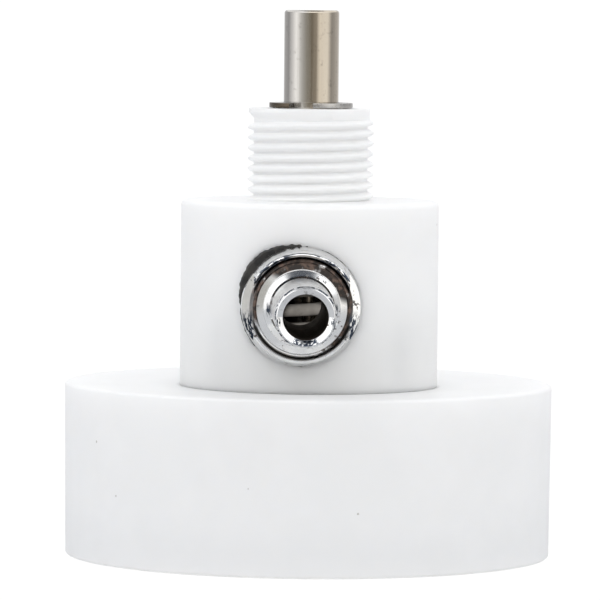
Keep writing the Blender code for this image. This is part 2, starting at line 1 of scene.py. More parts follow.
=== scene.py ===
"""The looks of the carbon dioxide diffuser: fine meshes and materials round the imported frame.

Metres, +Z up. Turned pieces are lathe profiles of (radius, height), run down their outer side.
"""

import json
from math import acos, atan2, cos, degrees, hypot, pi, radians, sin, tan, tau

import bmesh
import bpy
from mathutils import Matrix, Vector


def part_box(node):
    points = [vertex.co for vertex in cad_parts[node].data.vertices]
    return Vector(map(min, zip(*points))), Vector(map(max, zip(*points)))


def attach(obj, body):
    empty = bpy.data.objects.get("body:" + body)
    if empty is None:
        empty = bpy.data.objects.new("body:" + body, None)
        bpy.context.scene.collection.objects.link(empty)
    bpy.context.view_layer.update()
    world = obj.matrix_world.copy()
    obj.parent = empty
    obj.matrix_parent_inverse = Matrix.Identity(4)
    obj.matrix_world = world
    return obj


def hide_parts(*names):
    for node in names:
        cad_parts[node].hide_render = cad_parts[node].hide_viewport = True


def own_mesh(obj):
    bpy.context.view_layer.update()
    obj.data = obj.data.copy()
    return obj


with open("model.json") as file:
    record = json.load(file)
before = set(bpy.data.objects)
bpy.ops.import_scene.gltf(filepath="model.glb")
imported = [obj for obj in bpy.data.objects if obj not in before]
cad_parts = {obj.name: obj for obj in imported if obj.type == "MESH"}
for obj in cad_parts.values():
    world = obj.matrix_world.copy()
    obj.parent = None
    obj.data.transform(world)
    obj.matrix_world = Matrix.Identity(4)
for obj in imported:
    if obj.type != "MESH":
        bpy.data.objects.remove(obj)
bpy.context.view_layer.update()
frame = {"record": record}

MM = 0.001
TINY = 0.000001
RIGHT_ANGLE = radians(90)
FORWARD = Matrix.Rotation(RIGHT_ANGLE, 4, "X")
MOUNTS = {mount["name"]: Vector(mount["pos_m"]) for mount in frame["record"]["mounts"]}

# How finely pieces are turned
WIDE_SEGMENTS = 256
SEGMENTS = 160
SMALL_SEGMENTS = 64
ARC_STEPS = 5
SHARP = radians(32)


def top(node):
    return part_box(node)[1].z


def foot(node):
    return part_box(node)[0].z


def radius(node):
    """Half of a piece's width across X."""
    low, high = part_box(node)
    return (high.x - low.x) / 2


def middle(node):
    low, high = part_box(node)
    return (low + high) / 2


# -------- mesh tools


def rounded(corners, closed=True):
    """Corners (radius, height[, corner radius]) to a profile with an arc at each rounded corner."""
    points = []
    last = len(corners) - 1
    for i, corner in enumerate(corners):
        at = Vector(corner[:2])
        size = corner[2] if len(corner) > 2 else 0
        if size == 0 or (not closed and i in (0, last)):
            points.append(tuple(at))
            continue
        before = (Vector(corners[i - 1][:2]) - at).normalized()
        after = (Vector(corners[(i + 1) % len(corners)][:2]) - at).normalized()
        half = before.angle(after) / 2
        centre = at + (before + after).normalized() * size / sin(half)
        first = at + before * size / tan(half) - centre
        final = at + after * size / tan(half) - centre
        start = atan2(first.y, first.x)
        swing = atan2(first.cross(final), first.dot(final))
        for step in range(ARC_STEPS + 1):
            angle = start + swing * step / ARC_STEPS
            points.append((centre.x + size * cos(angle), centre.y + size * sin(angle)))
    return points


def lathe(profile, segments=SEGMENTS, closed=True):
    """A bmesh spun about Z. An open profile starts and ends on the axis."""
    shape = bmesh.new()
    rings = []
    for reach, height in profile:
        if reach < TINY:
            rings.append([shape.verts.new((0, 0, height))])
            continue
        spots = [tau * i / segments for i in range(segments)]
        rings.append([shape.verts.new(polar(reach, angle, height)) for angle in spots])
    lower_rings = rings[1:] + (rings[:1] if closed else [])
    for upper, lower in zip(rings, lower_rings):
        for i in range(segments):
            j = (i + 1) % segments
            corners = (
                upper[i % len(upper)],
                lower[i % len(lower)],
                lower[j % len(lower)],
                upper[j % len(upper)],
            )
            shape.faces.new(list(dict.fromkeys(corners)))
    bmesh.ops.recalc_face_normals(shape, faces=shape.faces)
    return shape


def to_mesh(shape, name, matrix=None):
    mesh = bpy.data.meshes.new(name)
    shape.to_mesh(mesh)
    shape.free()
    if matrix is not None:
        mesh.transform(matrix)
    return mesh


def polar(reach, angle, height):
    return (reach * cos(angle), reach * sin(angle), height)


def skin(rings, name, looped=False, matrix=None):
    """Joins rings of points with quads. A looped skin closes on itself, any other is capped."""
    shape = bmesh.new()
    rows = [[shape.verts.new(point) for point in ring] for ring in rings]
    count = len(rows[0])
    for first, second in zip(rows, rows[1:] + (rows[:1] if looped else [])):
        for i in range(count):
            j = (i + 1) % count
            shape.faces.new((first[i], first[j], second[j], second[i]))
    if not looped:
        shape.faces.new(rows[0])
        shape.faces.new(reversed(rows[-1]))
    bmesh.ops.recalc_face_normals(shape, faces=shape.faces)
    return to_mesh(shape, name, matrix)


def turned(profile, name, segments=SEGMENTS, closed=True, matrix=None):
    return to_mesh(lathe(profile, segments, closed), name, matrix)


def prism(reach, low, high, sides, matrix=None, name="prism"):
    """A closed prism or rod along Z."""
    shape = bmesh.new()
    bmesh.ops.create_cone(
        shape,
        cap_ends=True,
        segments=sides,
        radius1=reach,
        radius2=reach,
        depth=high - low,
        matrix=Matrix.Translation((0, 0, (low + high) / 2)),
    )
    return to_mesh(shape, name, matrix)


def block(size, centre, name="block"):
    shape = bmesh.new()
    bmesh.ops.create_cube(shape, size=1)
    bmesh.ops.scale(shape, vec=size, verts=shape.verts)
    return to_mesh(shape, name, Matrix.Translation(centre))


def new_object(name, data):
    """A new object in the scene."""
    obj = bpy.data.objects.new(name, data)
    bpy.context.scene.collection.objects.link(obj)
    return obj


def carve(mesh, tools, operation="DIFFERENCE"):
    """Cuts or joins meshes with the exact solver and gives the result as one new mesh."""
    work = new_object("work", mesh)
    helpers = []
    for tool in tools:
        helper = new_object("tool", tool)
        helpers.append(helper)
        boolean = work.modifiers.new("Boolean", "BOOLEAN")
        boolean.operation = operation
        boolean.solver = "EXACT"
        boolean.object = helper
    graph = bpy.context.evaluated_depsgraph_get()
    result = bpy.data.meshes.new_from_object(work.evaluated_get(graph))
    for obj in [work, *helpers]:
        bpy.data.objects.remove(obj, do_unlink=True)
    return result


def about(spot, angle=0.0):
    """A move to a spot, after a turn about Z."""
    return Matrix.Translation(spot) @ Matrix.Rotation(angle, 4, "Z")


def under(node):
    """A move to below a piece's middle, at the height of the underside."""
    return about(middle(node) * Vector((1, 1, 0)))


def on_circle(reach, degrees_round, height=0.0):
    return Vector(polar(reach, radians(degrees_round), height))


def piece(node, mesh, finish, body="diffuser"):
    """Shows a fine mesh in place of a CAD node."""
    mesh.name = node + "_fine"
    obj = new_object(node + "_fine", mesh)
    mesh.materials.clear()
    mesh.materials.append(MATERIALS[finish])
    mesh.shade_smooth()
    mesh.set_sharp_from_angle(angle=SHARP)
    normals = obj.modifiers.new("Flat faces stay flat", "WEIGHTED_NORMAL")
    normals.keep_sharp = True
    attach(obj, body)
    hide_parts(node)
    return obj


# -------- materials

# Where residue shows between the hub and the head
SEAM_INNER = radius("valve_body") - 0.3 * MM
SEAM_OUTER = radius("valve_body") + 0.2 * MM
SEAM_HEIGHT = top("diffuser_head") - 0.4 * MM
SEAM_DEPTH = 0.12
# Painted shade: the plastic is painted darker towards the hub's foot, and the painted shade fades across
# the head's top
FOOT_SHADE_LOW = top("diffuser_head")
FOOT_SHADE_HIGH = top("diffuser_head") + 20 * MM
FOOT_SHADE_WALL = radius("valve_body") + 0.2 * MM
FOOT_SHADE_START = radius("valve_body") + 0.6 * MM
FOOT_SHADE_END = radius("valve_body") + 6 * MM
FOOT_SHADE_DEPTH = 0.17
FOOT_SHADE_ON_HEAD = 0.35
FITTING_DROP = 0.17 * MM
FITTING = middle("inlet_union") - Vector((0, 0, FITTING_DROP))
FITTING_BORE = 3.1 * MM
# The nozzle's tube is duller outside this radius and in front of this place
TUBE_WALL = (3.9 * MM, 4.0 * MM)
TUBE_FOOT = (-25.5 * MM, -25 * MM)


class Nodes:
    """A node tree, with short ways to add and join nodes."""

    def __init__(self, tree):
        self.tree = tree

    def add(self, kind, inputs=None, **settings):
        node = self.tree.nodes.new(kind)
        for name, value in settings.items():
            setattr(node, name, value)
        for name, value in (inputs or {}).items():
            self.give(node.inputs[name], value)
        return node

    def give(self, socket, value):
        if isinstance(value, bpy.types.NodeSocket):
            self.tree.links.new(value, socket)
        else:
            socket.default_value = value

    def math(self, operation, *values):
        node = self.add("ShaderNodeMath", operation=operation)
        for socket, value in zip(node.inputs, values):
            self.give(socket, value)
        return node.outputs[0]

    def product(self, first, *others):
        """Values multiplied together, from the first to the last."""
        for value in others:
            first = self.math("MULTIPLY", first, value)
        return first

    def vector(self, operation, *values):
        node = self.add("ShaderNodeVectorMath", operation=operation)
        for socket, value in zip(node.inputs, values):
            self.give(socket, value)
        return node.outputs["Value" if operation == "LENGTH" else "Vector"]

    def parts(self, vector):
        return self.add("ShaderNodeSeparateXYZ", {"Vector": vector}).outputs

    def noise(self, vector, scale, detail=2.0, rough=0.5):
        inputs = {"Vector": vector, "Scale": scale, "Detail": detail, "Roughness": rough}
        return self.add("ShaderNodeTexNoise", inputs).outputs["Fac"]

    def ramp(self, value, low, high, out_low=0.0, out_high=1.0):
        """A smooth step from one value to another."""
        inputs = {"Value": value, "From Min": low, "From Max": high, "To Min": out_low, "To Max": out_high}
        return self.add("ShaderNodeMapRange", inputs, interpolation_type="SMOOTHSTEP").outputs[0]

    def fade(self, value, low, high):
        """A smooth step down from 1 to 0."""
        return self.ramp(value, low, high, 1.0, 0.0)

    def band(self, value, low, high, soft):
        """1 between two values, with soft ends."""
        return self.product(
            self.ramp(value, low - soft, low + soft),
            self.fade(value, high - soft, high + soft),
        )

    def mix(self, amount, first, second):
        """A blend of two colours."""
        node = self.add("ShaderNodeMix", data_type="RGBA")
        for number, value in ((0, amount), (6, first), (7, second)):
            self.give(node.inputs[number], value)
        return node.outputs[2]

    def choose(self, amount, first, second):
        """The first shader at 0, the second at 1."""
        node = self.add("ShaderNodeMixShader")
        for socket, value in zip(node.inputs, (amount, first, second)):
            self.give(socket, value)
        return node.outputs[0]

    def bump(self, height, strength, distance, normal=None):
        inputs = {"Height": height, "Strength": strength, "Distance": distance}
        node = self.add("ShaderNodeBump", inputs)
        if normal is not None:
            self.give(node.inputs["Normal"], normal)
        return node.outputs["Normal"]


class Finish(Nodes):
    """A material, with its shader and the object's own coordinates."""

    def __init__(self, name):
        self.material = bpy.data.materials.new(name)
        self.material.use_nodes = True
        super().__init__(self.material.node_tree)
        self.shader = self.tree.nodes["Principled BSDF"]
        self.place = self.add("ShaderNodeTexCoord").outputs["Object"]

    def set(self, **values):
        for name, value in values.items():
            self.give(self.shader.inputs[name.replace("_", " ")], value)

    def turned_space(self, centre=(0, 0, 0), axis="Z", wander=0.02):
        """Coordinates about a turning axis.

        These are a vector of radius and height with a slight drift round the axis, the plain radius,
        the plain height, and X, Y and Z from the centre.
        """
        place = self.vector("SUBTRACT", self.place, centre)
        split = self.parts(place)
        along, other = (split["Z"], split["Y"]) if axis == "Z" else (split["Y"], split["Z"])
        flat = self.add("ShaderNodeCombineXYZ", {"X": split["X"], "Y": other}).outputs[0]
        reach = self.vector("LENGTH", flat)
        drift = self.product(other, wander)
        across = self.product(split["X"], wander)
        lines = self.add(
            "ShaderNodeCombineXYZ",
            {"X": self.math("ADD", reach, drift), "Y": self.math("ADD", along, across)},
        ).outputs[0]
        return lines, reach, along, split


def white_plastic(name, tint=(0.94, 0.943, 0.942, 1)):
    """Turned white acetal: fine tool lines, a soft cloud of colour, painted shade at the hub's foot, rare
    specks and residue in the seam.
    """
    n = Finish(name)
    lines, reach, along, _ = n.turned_space()
    fine = n.noise(lines, 5200, 3.0, 0.6)
    broad = n.noise(lines, 700, 2.0, 0.5)
    cloud = n.noise(n.place, 70, 3.0, 0.55)
    shade = tuple(channel * 0.97 for channel in tint[:3]) + (1,)
    colour = n.mix(n.ramp(cloud, 0.35, 0.65), tint, shade)
    # Painted shade: darkest low on the hub, fading up the hub and out across the head's top
    painted_foot_shade = n.product(
        n.ramp(along, FOOT_SHADE_LOW, FOOT_SHADE_HIGH, FOOT_SHADE_DEPTH, 0.0),
        n.ramp(reach, FOOT_SHADE_WALL, FOOT_SHADE_START, 1.0, FOOT_SHADE_ON_HEAD),
        n.fade(reach, FOOT_SHADE_START, FOOT_SHADE_END),
        n.math("GREATER_THAN", along, FOOT_SHADE_LOW - MM),
    )
    colour = n.mix(painted_foot_shade, colour, (0.02, 0.02, 0.02, 1))
    cells = n.add("ShaderNodeTexVoronoi", {"Vector": n.place, "Scale": 330, "Randomness": 1.0})
    wobble = n.product(n.noise(n.place, 6000, 1.0), 0.05)
    near = n.fade(n.math("SUBTRACT", cells.outputs["Distance"], wobble), 0.02, 0.05)
    split = n.add("ShaderNodeSeparateColor", {"Color": cells.outputs["Color"]}).outputs
    rare = n.math("GREATER_THAN", split[0], 0.955)
    speck = n.product(near, rare, 0.55)
    seam = n.product(
        n.ramp(reach, SEAM_INNER, SEAM_INNER + 0.1 * MM),
        n.fade(reach, SEAM_OUTER, SEAM_OUTER + 0.2 * MM),
        n.ramp(
            n.math("ABSOLUTE", n.math("SUBTRACT", along, SEAM_HEIGHT)), 0.1 * MM, 0.2 * MM, SEAM_DEPTH, 0.0
        ),
        n.ramp(n.noise(n.place, 1300, 2.0, 0.6), 0.42, 0.6),
    )
    dirt = n.math("MAXIMUM", speck, seam)
    n.set(Base_Color=n.mix(dirt, colour, (0.30, 0.27, 0.22, 1)))
    n.set(Roughness=n.ramp(fine, 0.3, 0.7, 0.36, 0.50))
    relief = n.bump(fine, 0.10, 0.00002)
    n.set(Normal=n.bump(broad, 0.10, 0.00004, relief))
    n.set(Subsurface_Weight=0.8, Subsurface_Radius=(1.0, 0.97, 0.93), Subsurface_Scale=0.0036)
    n.set(IOR=1.48)
    return n.material


def chrome(name, brown_patches, dull, dark_reflections):
    """Bright plate over turned brass, with tool rings, pits, dark brown patches, painted dark reflections
    and a bore wall whose near-black colour is painted shade.

    Each brown patch is two radii, two places along the fitting and two heights, all in millimetres, and its
    strength below the lower height. It is full above the upper one. Each painted dark reflection is two
    radii, two places and two angles from the top, in radians. The dull part is between two radii.
    """
    n = Finish(name)
    lines, reach, along, split = n.turned_space((FITTING.x, 0, FITTING.z), "Y", 0.01)
    rings = n.noise(lines, 3800, 2.0, 0.6)
    waves = n.noise(lines, 900, 2.0, 0.5)
    cloud = n.noise(n.place, 260, 3.0, 0.6)
    pits = n.noise(n.place, 1500, 2.0, 0.5)
    bright = n.mix(n.ramp(cloud, 0.4, 0.7), (0.82, 0.82, 0.815, 1), (0.72, 0.72, 0.72, 1))

    tilted = n.math("ADD", split["Z"], n.product(split["X"], 0.35))
    covered = 0.0
    # Dark brown patches in the listed zones, fuller towards the top
    for low_r, high_r, low_y, high_y, low_z, high_z, least in brown_patches:
        dark_patch = n.product(
            n.band(reach, low_r * MM, high_r * MM, 0.06 * MM),
            n.band(along, low_y * MM, high_y * MM, 0.1 * MM),
            n.ramp(tilted, low_z * MM, high_z * MM, least, 1.0),
        )
        covered = n.math("MAXIMUM", covered, dark_patch)
    patchy = n.product(covered, n.ramp(n.noise(n.place, 420, 3.0, 0.6), 0.25, 0.42))
    browns = n.ramp(n.noise(n.place, 900, 3.0, 0.65), 0.45, 0.65)
    brown = n.mix(browns, (0.022, 0.016, 0.013, 1), (0.13, 0.085, 0.065, 1))
    pit = n.product(n.ramp(pits, 0.58, 0.66), n.ramp(n.noise(n.place, 330, 2.0), 0.5, 0.66, 0.0, 0.9))
    dull_patches = n.math("MAXIMUM", patchy, pit)
    plain = n.mix(dull_patches, bright, brown)

    turn = n.math("ARCTAN2", split["X"], split["Z"])
    steps = {"X": n.product(turn, 7.0), "Y": n.product(reach, 3600), "Z": n.product(along, 3600)}
    track = n.add("ShaderNodeCombineXYZ", steps).outputs[0]
    painted_reflection = 0.0
    # Painted dark reflections: dark blue dashes on the chrome in the listed zones
    for low_r, high_r, low_y, high_y, low_turn, high_turn in dark_reflections:
        zone = n.product(
            n.band(reach, low_r * MM, high_r * MM, 0.08 * MM),
            n.band(along, low_y * MM, high_y * MM, 0.08 * MM),
            n.band(n.math("ABSOLUTE", turn), low_turn, high_turn, 0.12),
        )
        painted_reflection = n.math("MAXIMUM", painted_reflection, zone)
    reflection_dash = n.product(painted_reflection, n.ramp(n.noise(track, 1.0, 2.0, 0.6), 0.43, 0.51))
    plated = n.mix(reflection_dash, plain, (0.035, 0.045, 0.065, 1))
    # Inside the bore the finish is dull, and its near-black colour is painted shade
    inside = n.fade(reach, FITTING_BORE + 0.03 * MM, FITTING_BORE + 0.08 * MM)
    n.set(Base_Color=n.mix(inside, plated, (0.030, 0.022, 0.016, 1)))
    n.set(Metallic=n.math("MINIMUM", n.ramp(dull_patches, 0.3, 0.9, 1.0, 0.35), n.ramp(inside, 0.0, 1.0, 1.0, 0.2)))
    satin = n.product(n.band(reach, dull[0], dull[1], 0.1 * MM), 0.14)
    tube = n.product(n.ramp(along, *TUBE_FOOT, 0.26, 0.0), n.ramp(reach, *TUBE_WALL))
    polish = n.ramp(cloud, 0.3, 0.8, 0.05, 0.11)
    extra = n.math("ADD", n.math("MAXIMUM", satin, tube), n.product(inside, 0.4))
    n.set(Roughness=n.math("ADD", n.math("ADD", polish, extra), n.product(dull_patches, 0.3)))
    relief = n.bump(rings, 0.16, 0.00003)
    n.set(Normal=n.bump(waves, 0.32, 0.00006, relief))
    return n.material


def steel(name, colour, rough, streak=1.0, metallic=1.0, left=None, change=(-1, 1, 0)):
    """Drawn steel, streaked along Z where streak is small. It may have another tint on its left.

    The change is the two places across X over which the left tint goes, and the radius outside which
    it shows, in millimetres.
    """
    n = Finish(name)
    stretched = n.vector("MULTIPLY", n.place, (1, 1, streak))
    fine = n.noise(stretched, 2600, 3.0, 0.6)
    broad = n.noise(stretched, 500, 2.0, 0.5)
    patches = n.noise(n.place, 900, 3.0, 0.6)
    tint = colour
    if left is not None:
        split = n.parts(n.place)
        flat = n.add("ShaderNodeCombineXYZ", {"X": split["X"], "Y": split["Y"]}).outputs[0]
        rim = n.ramp(n.vector("LENGTH", flat), change[2] * MM, (change[2] + 0.1) * MM)
        side = n.fade(split["X"], change[0] * MM, change[1] * MM)
        tint = n.mix(n.product(rim, side), colour, left)
    dull_patches = n.product(n.ramp(broad, 0.35, 0.7), 0.28)
    dull_patches = n.math("ADD", dull_patches, n.ramp(patches, 0.55, 0.75, 0.0, 0.2))
    n.set(Base_Color=n.mix(dull_patches, tint, (0.06, 0.05, 0.04, 1)), Metallic=metallic)
    n.set(Roughness=n.ramp(fine, 0.3, 0.7, rough - 0.05, rough + 0.06))
    relief = n.bump(fine, 0.16, 0.00004)
    n.set(Normal=n.bump(broad, 0.15, 0.00006, relief))
    return n.material


def rubber():
    n = Finish("black_rubber")
    grain = n.noise(n.place, 2200, 3.0, 0.6)
    tears = n.noise(n.place, 500, 2.0, 0.5)
    n.set(Base_Color=n.mix(n.ramp(tears, 0.4, 0.7), (0.010, 0.010, 0.010, 1), (0.040, 0.037, 0.034, 1)))
    n.set(Roughness=n.ramp(grain, 0.3, 0.7, 0.38, 0.6))
    n.set(Normal=n.bump(grain, 0.4, 0.00008))
    return n.material


def turned_metal(name, colour, rough):
    """Brass or bronze with lathe rings about Z."""
    n = Finish(name)
    lines, _, _, _ = n.turned_space()
    rings = n.noise(lines, 4200, 2.0, 0.6)
    dark_patch = n.noise(n.place, 400, 3.0, 0.6)
    dark = tuple(channel * 0.6 for channel in colour[:3]) + (1,)
    n.set(Base_Color=n.mix(n.ramp(dark_patch, 0.45, 0.75), colour, dark), Metallic=1.0)
    n.set(Roughness=n.ramp(rings, 0.3, 0.7, rough - 0.05, rough + 0.1))
    n.set(Normal=n.bump(rings, 0.2, 0.00004))
    return n.material


def sintered():
    """Porous plastic: fused grains with dark pores between them."""
    n = Finish("sintered_plastic")
    grains = n.add("ShaderNodeTexVoronoi", {"Vector": n.place, "Scale": 2400}).outputs["Distance"]
    n.set(Base_Color=n.mix(n.ramp(grains, 0.35, 0.75), (0.74, 0.74, 0.72, 1), (0.36, 0.36, 0.35, 1)))
    n.set(Roughness=n.ramp(grains, 0.2, 0.8, 0.8, 0.95))
    n.set(Normal=n.bump(grains, 0.6, -0.0002))
    return n.material


def make_materials():
    """Every finish by its plain name. Blender adds a number where a CAD material already has the name."""
    # Dark brown patches in the socket round the collar, fuller towards the top
    union_brown_patches = ((6.2, 7.28, -23.2, -19.0, -3, 4, 0.7),)
    nozzle_brown_patches = ((5.5, 6.95, -23.7, -19.0, 2.4, 3.8, 0), (6.34, 6.95, -23.7, -19.0, -5.0, -3.5, 0))
    # Zones of painted dark reflections: on the union's rim, then round the nozzle's tip and shoulder
    rim_dark_reflections = ((7.15, 7.8, -24, -22, 0.2, 1.2), (6.9, 8.5, -20.6, -18.0, 1.7, 2.25))
    tip_dark_reflections = (
        (3.7, 4.3, -43.75, -42.9, 0.1, 2.6),
        (3.5, 4.0, -44.3, -43.5, 1.6, 1.85),
        (4.33, 5.0, -25.3, -24.1, 1.45, 1.75),
        (3.15, 3.95, -44.3, -43.3, 2.66, 3.3),
    )
    return {
        "white_plastic": white_plastic("white_plastic"),
        "plate_plastic": white_plastic("plate_plastic", (0.86, 0.865, 0.86, 1)),
        "chrome_union": chrome("chrome_union", union_brown_patches, (6.4 * MM, 7.1 * MM), rim_dark_reflections),
        "chrome_nozzle": chrome("chrome_nozzle", nozzle_brown_patches, (4.7 * MM, 6.4 * MM), tip_dark_reflections),
        # Painted reflection colour: the stem is tinted neutral on its left, where its bright band lies, and
        # warm elsewhere
        "stem_steel": steel(
            "stem_steel", (0.60, 0.535, 0.445, 1), 0.13, 0.02,
            left=(0.60, 0.58, 0.55, 1), change=(-1.5, 0, 0)
        ),
        "clip_steel": steel(
            "clip_steel", (0.46, 0.45, 0.435, 1), 0.30, left=(0.10, 0.08, 0.06, 1), change=(-2, 0, 5.7)
        ),
        "spring_steel": steel("spring_steel", (0.46, 0.43, 0.39, 1), 0.42, metallic=0.45),
        "screw_steel": steel("screw_steel", (0.58, 0.57, 0.55, 1), 0.26),
        "black_rubber": rubber(),
        "brass": turned_metal("brass", (0.72, 0.55, 0.28, 1), 0.28),
        "bronze": turned_metal("bronze", (0.50, 0.36, 0.22, 1), 0.42),
        "seat_plastic": white_plastic("seat_plastic", (0.74, 0.72, 0.63, 1)),
        "sintered_plastic": sintered(),
    }


MATERIALS = make_materials()

# -------- head

HEAD_HEIGHT = top("diffuser_head")
HUB_RADIUS = radius("valve_body")
HEAD_TOP_RADIUS = radius("diffuser_head")
HEAD_FOOT_RADIUS = HEAD_TOP_RADIUS - 0.2 * MM
HEAD_EDGE = 0.45 * MM
HEAD_DISH = 0.4 * MM
SOCKET_RADIUS = 12.3 * MM
SOCKET_FLOOR = 18.6 * MM
OUTLET_RADIUS = 5.6 * MM
PLENUM_RADIUS = 26 * MM
PLENUM_CEILING = 12 * MM
POROUS_STEP_RADIUS = 28 * MM
POROUS_STEP = 6.4 * MM
PLATE_LEDGE = 4.4 * MM
PLATE_RECESS_RADIUS = radius("diffuser_plate") + 0.3 * MM

BODY_SCREWS = [f"body_screw_{number}" for number in range(1, 5)]
PLATE_SCREWS = [f"plate_screw_{number}" for number in range(1, 7)]
SCREW_COUNTERBORE = 16.2 * MM
SCREW_COUNTERBORE_RADIUS = 3.8 * MM
SCREW_WAY_RADIUS = 2.2 * MM
PLATE_TAP_RADIUS = 1.15 * MM
PLATE_TAP_END = 9.5 * MM


def make_head():
    edge = 0.2 * MM
    profile = rounded(
        [
            (SOCKET_RADIUS, HEAD_HEIGHT - HEAD_DISH, edge),
            (HUB_RADIUS + 0.5 * MM, HEAD_HEIGHT - HEAD_DISH, 20 * MM),
            (HEAD_TOP_RADIUS - 3 * MM, HEAD_HEIGHT, 30 * MM),
            (HEAD_TOP_RADIUS, HEAD_HEIGHT, HEAD_EDGE),
            (HEAD_FOOT_RADIUS, 0, HEAD_EDGE),
            (PLATE_RECESS_RADIUS, 0, edge),
            (PLATE_RECESS_RADIUS, PLATE_LEDGE),
            (POROUS_STEP_RADIUS, PLATE_LEDGE, edge),
            (POROUS_STEP_RADIUS, POROUS_STEP),
            (PLENUM_RADIUS, POROUS_STEP, edge),
            (PLENUM_RADIUS, PLENUM_CEILING, 1 * MM),
            (OUTLET_RADIUS, PLENUM_CEILING, edge),
            (OUTLET_RADIUS, SOCKET_FLOOR, edge),
            (SOCKET_RADIUS, SOCKET_FLOOR),
        ]
    )
    head = turned(profile, "head", WIDE_SEGMENTS)
    tools = []
    below = PLENUM_CEILING - MM
    for node in BODY_SCREWS:
        spot = under(node)
        tools.append(prism(SCREW_WAY_RADIUS, below, HEAD_HEIGHT + MM, 48, spot))
        tools.append(prism(SCREW_COUNTERBORE_RADIUS, below, SCREW_COUNTERBORE, 64, spot))
    for node in PLATE_SCREWS:
        tools.append(prism(PLATE_TAP_RADIUS, PLATE_LEDGE - MM, PLATE_TAP_END, 32, under(node)))
    piece("diffuser_head", carve(head, tools), "white_plastic")


# -------- hub and stud

HUB_FOOT = HEAD_HEIGHT - HEAD_DISH + 0.01 * MM
HUB_TOP = MOUNTS["shoulder_face"].z
HUB_EDGE = 0.8 * MM
STUD_TOP = top("valve_body")
STUD_RADIUS = 9.04 * MM
STUD_ROOT = 8.2 * MM
THREAD_PITCH = 1.5 * MM
THREAD_PHASE = 52.58 * MM
THREAD_STEPS = 96
THREAD_TURNS_UP = 6.85
THREAD_RUN_OUT = 0.35
STUD_BORE = 4.2 * MM
GLAND_RADIUS = 5.8 * MM
GLAND_ROOF = 58 * MM
CHAMBER_RADIUS = 7.5 * MM
CHAMBER_ROOF = 47.9 * MM
SEAT_POCKET_RADIUS = 9 * MM
SEAT_POCKET_ROOF = 22.6 * MM
SPIGOT_FOOT = foot("valve_body")
SPIGOT_RADIUS = 12 * MM
SPIGOT_GROOVE_RADIUS = 10.9 * MM
SPIGOT_GROOVE = (21.1 * MM, 22.9 * MM)
PORT_FACE = 16.2 * MM
PORT_FACE_RADIUS = 8.45 * MM
PORT_MOUTH = 25 * MM
PORT_THREAD_RADIUS = 5.5 * MM
PORT_THREAD_END = 9 * MM
PORT_WAY_RADIUS = 3.6 * MM
PORT_END = 4.5 * MM
BODY_TAP_RADIUS = 1.95 * MM
BODY_TAP_END = 34 * MM
WASHER_RADIUS = 7.9 * MM
WASHER_BORE = 6 * MM
WASHER_EDGE = 0.22 * MM
WASHER_BACK = 16.25 * MM
WASHER_FRONT = 17.5 * MM
WASHER_BULGE = Vector((-1.84, 1.70)) * MM
WASHER_BULGE_RADIUS = 6.88 * MM
FITTING_PLACE = Matrix.Translation((FITTING.x, 0, FITTING.z)) @ FORWARD


def peak(angle, centre, half_width):
    """1 at an angle, falling to 0 on both sides of it. The place and the width are in degrees."""
    return max(0, 1 - abs(angle - radians(centre)) / radians(half_width))


def washer_reach(angle):
    """The washer's uneven outline about the fitting's axis, as seen from the front."""
    outward = Vector((cos(angle), sin(angle)))
    along = WASHER_BULGE.dot(outward)
    bulge = along + (WASHER_BULGE_RADIUS**2 - WASHER_BULGE.length_squared + along**2) ** 0.5
    torn = 0.04 * sin(23 * angle + 1) + 0.03 * sin(41 * angle) + 0.03 * sin(67 * angle + 2)
    tag = 0.42 * peak(angle, 84.5, 4) + 0.22 * peak(angle, 92, 3) + 0.18 * peak(angle, 99, 2)
    near_top = peak(angle, 92, 14) * 0.14
    proud = 0.66 * min(1, 3 * peak(angle, 202, 28)) + 0.58 * min(1, 3 * peak(angle, 42, 42))
    return max(bulge + (torn + tag + near_top) * MM, WASHER_RADIUS + (proud + 0.5 * torn) * MM)


def thread_ridge():
    """The right-hand thread's ridge as one closed coil, its foot sunk in the stud's core."""
    turns_down = (THREAD_PHASE - HUB_TOP + THREAD_PITCH / 2) / THREAD_PITCH
    upper_half = (
        (STUD_RADIUS, 0.11 * MM),
        (STUD_RADIUS - 0.14 * MM, 0.25 * MM),
        (STUD_RADIUS - 0.42 * MM, 0.42 * MM),
        (STUD_ROOT, 0.59 * MM),
        (STUD_ROOT - 0.3 * MM, 0.64 * MM),
    )
    section = [(reach, -rise) for reach, rise in reversed(upper_half)] + list(upper_half)
    rings = []
    count = round((turns_down + THREAD_TURNS_UP) * THREAD_STEPS)
    for step in range(count + 1):
        turn = -turns_down + (turns_down + THREAD_TURNS_UP) * step / count
        fade = min(1, (THREAD_TURNS_UP - turn) / THREAD_RUN_OUT)
        angle = pi + tau * turn
        height = THREAD_PHASE + THREAD_PITCH * turn
        ring = []
        for reach, rise in section:
            out = STUD_ROOT + (reach - STUD_ROOT) * fade if reach > STUD_ROOT else reach
            ring.append(polar(out, angle, height + rise))
        rings.append(ring)
    return skin(rings, "ridge")


def stud_lip():
    """The uneven lip at the stud's top: it stands out on the left, over a short undercut."""
    rows = (
        (0.2 * MM, 8.28 * MM, 62.75 * MM),
        (-0.24 * MM, 8.74 * MM, 63.75 * MM),
        (-0.24 * MM, 8.74 * MM, STUD_TOP + MM),
        (0, 5 * MM, STUD_TOP + MM),
        (0, 5 * MM, 62.4 * MM),
        (0.1 * MM, 7.9 * MM, 62.4 * MM),
    )
    rings = []
    for centre, reach, height in rows:
        circle = [polar(reach, tau * i / SEGMENTS, height) for i in range(SEGMENTS)]
        rings.append([(centre + x, y, z) for x, y, z in circle])
    return skin(rings, "lip", looped=True)


